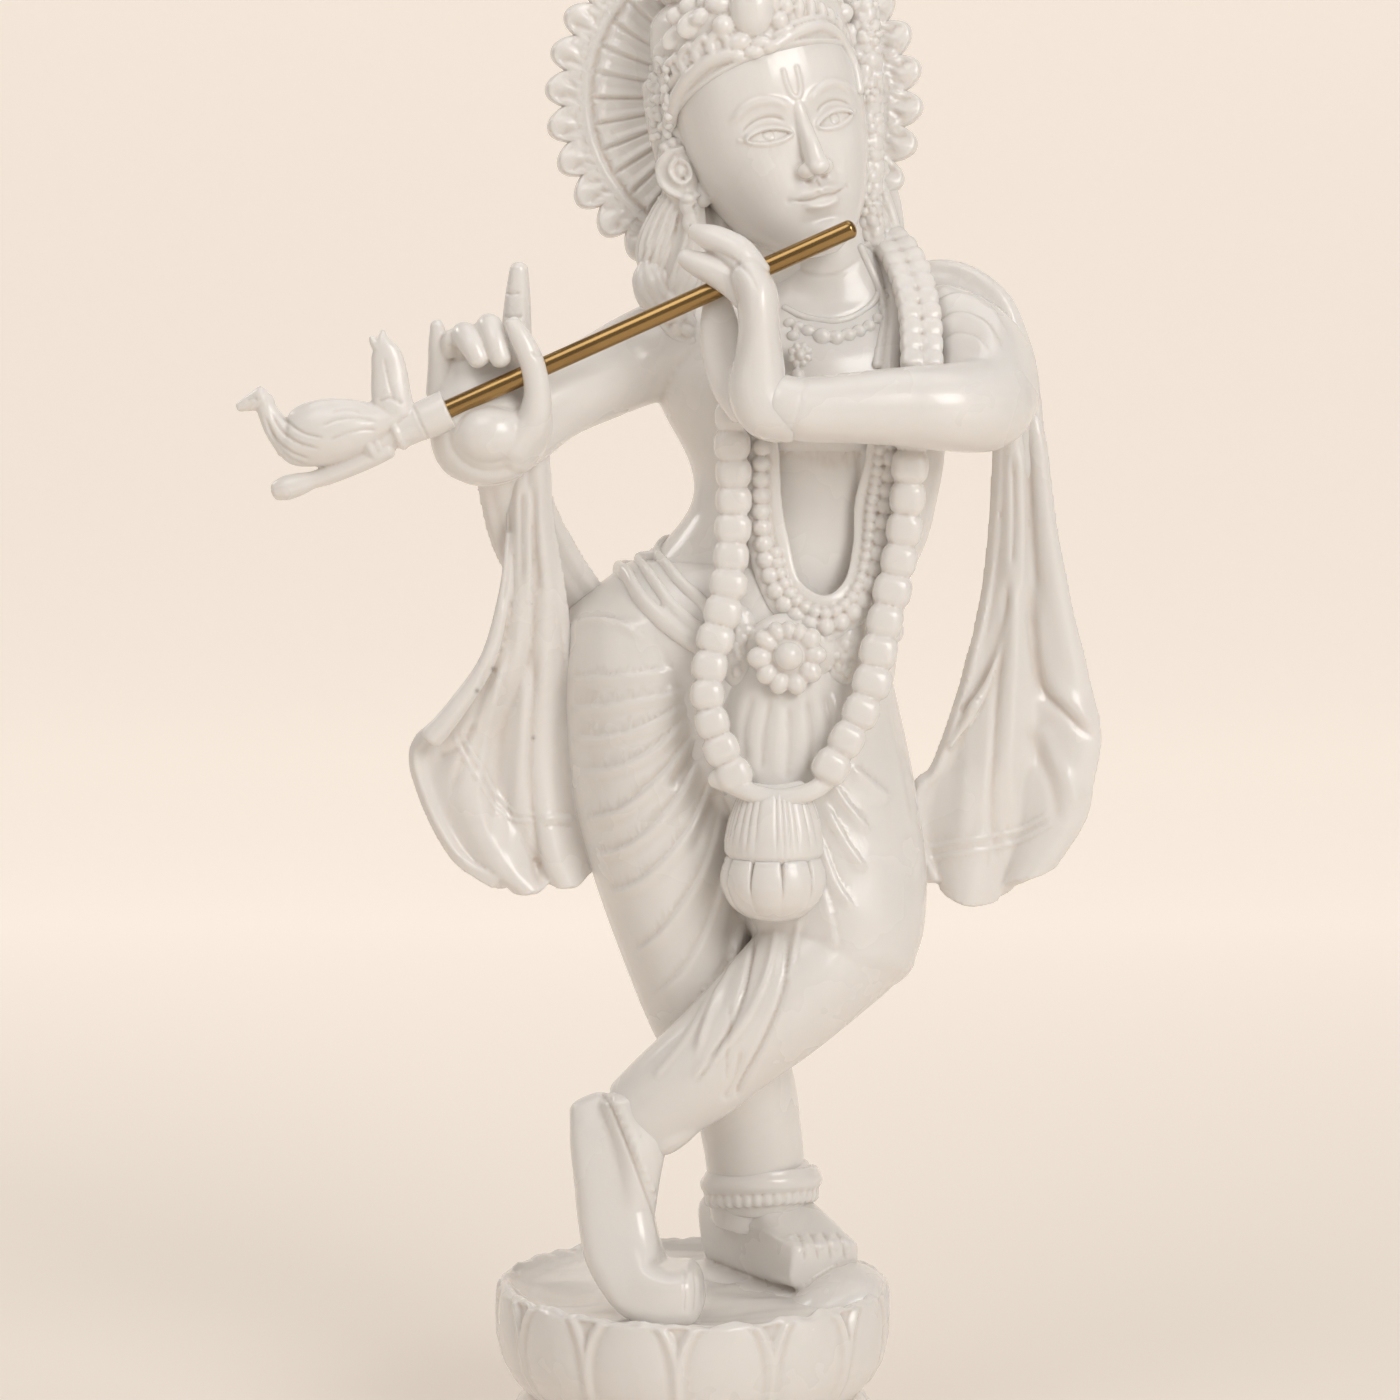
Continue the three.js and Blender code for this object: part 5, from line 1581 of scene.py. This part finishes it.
tasselForm = {
    "place": (80, -112, 684),
    # radius and height of the gathered skirt and of the lobed pod below it
    "skirt": [(0, -58), (38, -54), (47.5, -48), (49.5, -40), (48, -26), (44, -10), (37, 8), (30, 18),
              (0, 22)],
    "pod": [(0, -114), (26, -110), (43, -98), (51.5, -82), (53.5, -70), (50, -56), (42, -48), (0, -44)],
    "knot": [[56, -126, 700, 8, 8], [80, -132, 698, 9, 9], [106, -126, 702, 8, 8]],
    "gathers": 14, "lobes": 10,
}


def gathered(angle, run):
    # uneven narrow folds, none at the skirt's hem and neck
    wobble = tasselForm["gathers"] * angle + 1.2 * np.sin(5 * angle) + 0.7 * np.sin(9 * angle)
    depth = 0.008 + 0.034 * ease((run - 0.36) / 0.2) * ease((0.97 - run) / 0.1)
    return 1 - depth * (1 - np.abs(np.cos(wobble)) ** 0.7)


def lobed(angle, run):
    # drooping petals, with dark gaps that close towards the bottom
    u = np.abs(((angle * tasselForm["lobes"] / (2 * math.pi) + 0.28) % 1.0) * 2 - 1)
    half = np.interp(run, [0.1, 0.35, 0.7, 1.0], [1.0, 0.97, 0.84, 0.74])
    gap = ease((u - half) / 0.14)
    depth = np.interp(run, [0.08, 0.3, 0.6, 1.0], [0.0, 0.035, 0.1, 0.14])
    return 1 - depth * gap - 0.03 * u ** 2 * ease(run / 0.3)


def makeTassel():
    form = tasselForm
    parts = [turned(form["place"], form["skirt"], 300, 72, gathered),
             turned(form["place"], form["pod"], 300, 96, lobed),
             limb(form["knot"], 16, 24)]
    return setDown(joinAll("tassel", parts), marble)


# lotus plinth

plinthForm = {
    "petals": 13, "first": -94.4,
    # radius and height of the outline, from the middle of the underside to the middle of the top
    "outline": [
        (0, 0), (50, 0), (73, 0), (74, 1.2), (74, 5.6), (72.6, 7), (71.2, 8), (72.4, 10), (71.8, 16),
        (68.6, 22),
        (65.2, 27), (63.4, 28.6), (64.6, 30.4), (69.4, 36), (73.2, 43), (75.0, 51), (75.3, 59), (75.2, 66),
        (74.8, 70.2),
        (73.2, 71.6), (71.2, 71.2), (68.6, 69.4), (64, 67.8), (50, 67.6), (28, 68.2), (0, 68.6),
    ],
    # how far along the outline's mesh each of these points lies
    "shares": [0, 0.02, 0.06, 0.075, 0.11, 0.125, 0.14, 0.16, 0.20, 0.245, 0.285, 0.30, 0.32, 0.37, 0.43,
               0.50, 0.57,
               0.64, 0.68, 0.705, 0.73, 0.765, 0.81, 0.87, 0.94, 1.0],
}


def petalField(u, t, top, line, sunk):
    # height of a petal's face: u runs across it from -1 to 1, t from its base to its tip
    reach = np.clip((t - 0.42) / (top - 0.42), 0, 1)
    half = np.sqrt(np.maximum(1 - reach ** 2.4, 0.0))
    inside = half - np.abs(u)
    ridge = line * bell(inside / 0.1)
    face = 0.9 * line * ease(inside / 0.8)
    return ridge + face - sunk * ease(-inside / 0.2) - 0.4 * line * bell((inside - 0.2) / 0.1)


def makePlinth():
    form = plinthForm
    bpy.ops.mesh.primitive_uv_sphere_add(segments=form["petals"] * 40, ring_count=150)
    plinth = bpy.context.object
    ball = readPoints(plinth)
    run = 1 - np.arccos(np.clip(ball[:, 2], -1, 1)) / math.pi
    angle = np.arctan2(ball[:, 1], ball[:, 0])
    r = np.interp(run, form["shares"], [p[0] for p in form["outline"]])
    z = np.interp(run, form["shares"], [p[1] for p in form["outline"]])
    turn = (np.degrees(angle) - form["first"]) / (360 / form["petals"])
    upper = 2 * (turn % 1.0) - 1
    lower = 2 * ((turn + 0.5) % 1.0) - 1
    onBowl = ease((z - 30) / 4) * ease((0.69 - run) / 0.02) * (run < 0.7)
    push = onBowl * petalField(upper, (z - 29) / 42, 1.12, 1.0, 1.3)
    onFoot = ease((z - 8.5) / 2) * ease((27.5 - z) / 3) * (run < 0.3)
    push += onFoot * petalField(lower, (29 - z) / 21, 1.1, 0.9, 1.4)
    r = r + push
    x, y = r * np.cos(angle), r * np.sin(angle)
    # the hollowed top with its uneven carved rim
    flat = np.stack([x, y, 0 * x], axis=1)
    onRim = bell((run - 0.715) / 0.03)
    z = z + onRim * (0.9 * softNoise(flat, 14, 11) + 0.35 * softNoise(flat, 6, 12))
    inner = ease((run - 0.74) / 0.08)
    z = z + inner * (0.45 * softNoise(flat, 30, 13) + 0.1 * softNoise(flat, 11, 14))
    z = z - inner * 3.2 * bell(np.hypot((x + 44) / 24, (y + 4) / 26))
    z = z - inner * 1.6 * bell(np.hypot((x - 12) / 16, (y + 40) / 14))
    z = np.maximum(z, 0)
    writePoints(plinth, np.stack([x, y, z], axis=1) * 0.001)
    plinth.name = "plinth"
    return setDown(plinth, marble)


# flute

fluteForm = {
    "tip": (0.0595, -0.0534, 0.47451), "fall": 24.06, "length": 172, "radius": 3.5, "mouth": 163,
    "stem": [
        (0, 0), (7.0, 0.2), (7.4, 0.9), (7.4, 9.4), (6.9, 10.4), (6.7, 11.2), (7.0, 12), (6.7, 13), (6.6, 19),
        (7.0, 19.6),
        (7.1, 21), (5.6, 22.6), (5.3, 25), (5.4, 27.4), (6.0, 28.2), (5.9, 29.6), (7.2, 30.6), (7.5, 31.6),
        (6.9, 32.8),
        (5.0, 35), (4.2, 36.5), (0, 37),
    ],
    # drawn on the sheet
    "spindle": [[388, 448, -142, 11, 11], [370, 456, -142, 12, 12], [350, 465, -142, 11.5, 11.5],
                [328, 475, -142, 10, 10], [313, 480, -142, 9, 9], [300, 484, -142, 11.5, 11.5],
                [286, 488, -142, 12.5, 12.5], [277, 491, -142, 10, 10]],
    "body": [
        [280, 440, -146, 13, 12], [294, 440, -146, 27, 20], [319, 433, -146, 33, 26],
        [352, 427, -146, 29, 24],
        [380, 420, -146, 18, 16], [400, 414, -146, 11, 11],
    ],
    "neck": [[292, 440, -146, 21, 17], [277, 427, -146, 14, 13], [268, 412, -146, 10.5, 10],
             [264, 400, -146, 10, 10]],
    "head": [[263, 398, -146, 12.5, 12], [250, 403, -146, 8.5, 8], [239, 407, -146, 5, 5]],
    "tail": [
        [394, 414, -146, 21, 13], [391, 392, -146, 20, 12], [389, 370, -146, 18, 10], [386, 353, -146, 15, 9],
        [383, 341, -146, 8, 7], [383, 331, -146, 2.6, 3],
    ],
    "tailCurl": [[380, 348, -146, 8, 7], [374, 342, -146, 5, 5], [371, 337, -146, 2.5, 3]],
    "strokes": [
        ([(264, 414), (273, 436), (290, 452), (312, 460)], 2.0, -0.7, "ridge"),
        ([(270, 410), (281, 430), (298, 443), (322, 450)], 2.0, -0.7, "ridge"),
        ([(278, 408), (290, 424), (306, 434), (326, 438)], 2.0, -0.7, "ridge"),
        ([(268, 426), (277, 446), (292, 460), (308, 466)], 2.0, -0.5, "ridge"),
        ([(300, 408), (322, 402), (350, 402), (374, 408)], 2.4, 0.6, "ridge"),
        ([(318, 428), (336, 420), (356, 418), (378, 422)], 2.2, -0.5, "ridge"),
        ([(326, 442), (344, 434), (362, 430), (380, 430)], 2.2, -0.5, "ridge"),
        ([(330, 412), (346, 410), (364, 413)], 2.2, -0.4, "ridge"),
        ([(384, 356), (388, 378), (394, 402)], 2.4, -0.5, "ridge"),
        ([(376, 402), (390, 398), (404, 404)], 2.4, -0.6, "ridge"),
        ([(246, 402), (252, 398), (258, 400)], 1.6, -0.4, "ridge"),
    ],
}


def alongFlute(piece):
    # stands a piece turned about the upright axis, in millimetres, along the flute from its tip
    points = readPoints(piece) / square
    fall = math.radians(fluteForm["fall"])
    way = np.array([-math.cos(fall), 0, -math.sin(fall)])
    side = np.array([0.0, 1.0, 0.0])
    third = np.cross(side, way)
    placed = points[:, :1] * third + points[:, 1:2] * side + points[:, 2:] * way
    writePoints(piece, placed * 0.001 + fluteForm["tip"])
    return piece


def makeFlute():
    form = fluteForm
    r, length = form["radius"], form["length"]
    bpy.ops.mesh.primitive_uv_sphere_add(segments=64, ring_count=64)
    rod = bpy.context.object
    ball = readPoints(rod)
    run = 1 - np.arccos(np.clip(ball[:, 2], -1, 1)) / math.pi
    angle = np.arctan2(ball[:, 1], ball[:, 0])
    start = np.clip(run / 0.2, 0, 1) * math.pi / 2
    radius = np.where(run < 0.9, r * np.sin(start), r * np.clip((1 - run) / 0.1, 0, 1))
    place = np.where(run < 0.2, r * 0.7 * (1 - np.cos(start)),
                     r * 0.7 + (length - r * 0.7) * np.clip((run - 0.2) / 0.7, 0, 1))
    writePoints(rod, np.stack([radius * np.cos(angle), radius * np.sin(angle), place], axis=1) * square)
    alongFlute(rod)
    rod.name = "rod"
    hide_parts("flute_rod")
    setDown(rod, brass, 40)
    stem = turned((0, 0, 0), [(radius_, form["mouth"] + z) for radius_, z in form["stem"]], 64, 200)
    alongFlute(stem)
    parts = [stem]
    for name in ("spindle", "body", "neck", "head", "tail", "tailCurl"):
        parts.append(limb(drawn(form[name]), 40, 56, (0.6, 0.6), cap=0.08))
    bird = fuse("bird", parts, 0.5, 3)
    carveStrokes(bird, form["strokes"])
    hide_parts("flute_bird")
    return setDown(bird, marble)


# stage, light, camera

stageForm = {
    # in metres: width, length along the run, the bend's radius, where the floor starts and how long it is
    # level
    "width": 9, "run": 10, "radius": 1.2, "start": -3.0, "level": 5.6,
    "colour": (0.80, 0.735, 0.67, 1), "roughness": 0.8, "glow": (1.0, 0.91, 0.82, 1),
    # the wall behind glows a little, the ground near the plinth doesn't
    "glowRange": {"From Min": 0.1, "From Max": 1.4, "To Min": 0.17, "To Max": 0.47},
}


def makeStage():
    form = stageForm
    bpy.ops.mesh.primitive_grid_add(x_subdivisions=2, y_subdivisions=60, size=1)
    floor = bpy.context.object
    p = readPoints(floor)
    run = (p[:, 1] + 0.5) * form["run"]
    radius, start, level = form["radius"], form["start"], form["level"]
    flat = np.minimum(run, level)
    arc = np.clip((run - level) / radius, 0, math.pi / 2)
    rise = np.maximum(run - level - radius * math.pi / 2, 0)
    y = start + flat + radius * np.sin(arc)
    z = radius * (1 - np.cos(arc)) + rise
    writePoints(floor, np.stack([p[:, 0] * form["width"], y, z - 0.0001], axis=1))
    floor.name = "floor"
    material = bpy.data.materials.new("paleFloor")
    material.use_nodes = True
    shader = material.node_tree.nodes["Principled BSDF"]
    shader.inputs["Base Color"].default_value = form["colour"]
    shader.inputs["Roughness"].default_value = form["roughness"]
    shader.inputs["Emission Color"].default_value = form["glow"]
    tree = material.node_tree
    place = addNode(tree, "ShaderNodeTexCoord")
    parts = addNode(tree, "ShaderNodeSeparateXYZ")
    glow = addNode(tree, "ShaderNodeMapRange")
    for name, value in form["glowRange"].items():
        glow.inputs[name].default_value = value
    tree.links.new(place.outputs["Object"], parts.inputs[0])
    tree.links.new(parts.outputs["Y"], glow.inputs["Value"])
    tree.links.new(glow.outputs["Result"], shader.inputs["Emission Strength"])
    floor.data.materials.clear()
    floor.data.materials.append(material)
    deselectAll()
    floor.select_set(True)
    bpy.ops.object.shade_smooth()


def addLamp(name, place, aim, size, power, colour):
    data = bpy.data.lights.new(name, "AREA")
    data.shape = "RECTANGLE"
    data.size, data.size_y = size
    data.energy = power
    data.color = colour
    lamp = bpy.data.objects.new(name, data)
    bpy.context.collection.objects.link(lamp)
    lamp.location = place
    lamp.rotation_euler = (Vector(aim) - Vector(place)).to_track_quat("-Z", "Y").to_euler()


lightForm = {
    "room": (1.0, 0.93, 0.86, 1), "roomStrength": 0.31,
    # each lamp's name, place, aim, size, watts, colour
    "lamps": [
        ("key", (1.15, -1.65, 1.3), (0, 0, 0.3), (1.0, 1.0), 20, (1.0, 0.99, 0.97)),
        ("low", (1.1, -1.15, 0.32), (0.08, 0, 0.2), (0.8, 0.5), 1.0, (1.0, 0.985, 0.965)),
        ("fill", (-1.6, -1.3, 0.9), (0, 0, 0.3), (1.2, 1.2), 2, (1.0, 0.96, 0.92)),
        ("rim", (-1.3, 0.7, 1.3), (0, 0, 0.32), (0.4, 0.4), 3, (1.0, 0.98, 0.95)),
        ("top", (0.1, 0.1, 2.0), (0, 0, 0.3), (1.4, 1.0), 4.5, (1.0, 0.98, 0.95)),
        ("front", (-0.32, -0.58, 1.15), (-0.02, -0.05, 0.45), (0.5, 0.55), 1.8, (1.0, 0.98, 0.95)),
    ],
}


def makeLight():
    world = bpy.data.worlds.new("room")
    world.use_nodes = True
    background = world.node_tree.nodes["Background"]
    background.inputs["Color"].default_value = lightForm["room"]
    background.inputs["Strength"].default_value = lightForm["roomStrength"]
    bpy.context.scene.world = world
    for lamp in lightForm["lamps"]:
        addLamp(*lamp)
    bpy.context.scene.view_settings.view_transform = "Standard"


def makeCamera():
    data = bpy.data.cameras.new("camera")
    data.lens = cameraSetup["lens"]
    data.sensor_width = 36
    data.clip_start = 0.05
    camera = bpy.data.objects.new("camera", data)
    bpy.context.collection.objects.link(camera)
    camera.location = cameraSetup["place"]
    aim = Vector(cameraSetup["aim"]) - Vector(cameraSetup["place"])
    camera.rotation_euler = aim.to_track_quat("-Z", "Y").to_euler()
    bpy.context.scene.camera = camera


makeCamera()
makeLight()
makeStage()
print("stage set")

body = makeBody()
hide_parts("figure")
legs = makeLegs()
head = makeHead()
crown = makeCrown(head)
makePlume()
hair = makeHair()
makeTemple([head, crown, hair])
makeHand("left")
makeHand("right")
makeRaisedFoot()
makeFlatFoot()
makeAnklet()
makeScarf("left")
makeScarf("right")
makeSash()
makeBelt([body, legs])
makeGarland([body, head])
makeNecklaces([body])
makeFlower()
makeTassel()
makePlinth()
makeFlute()
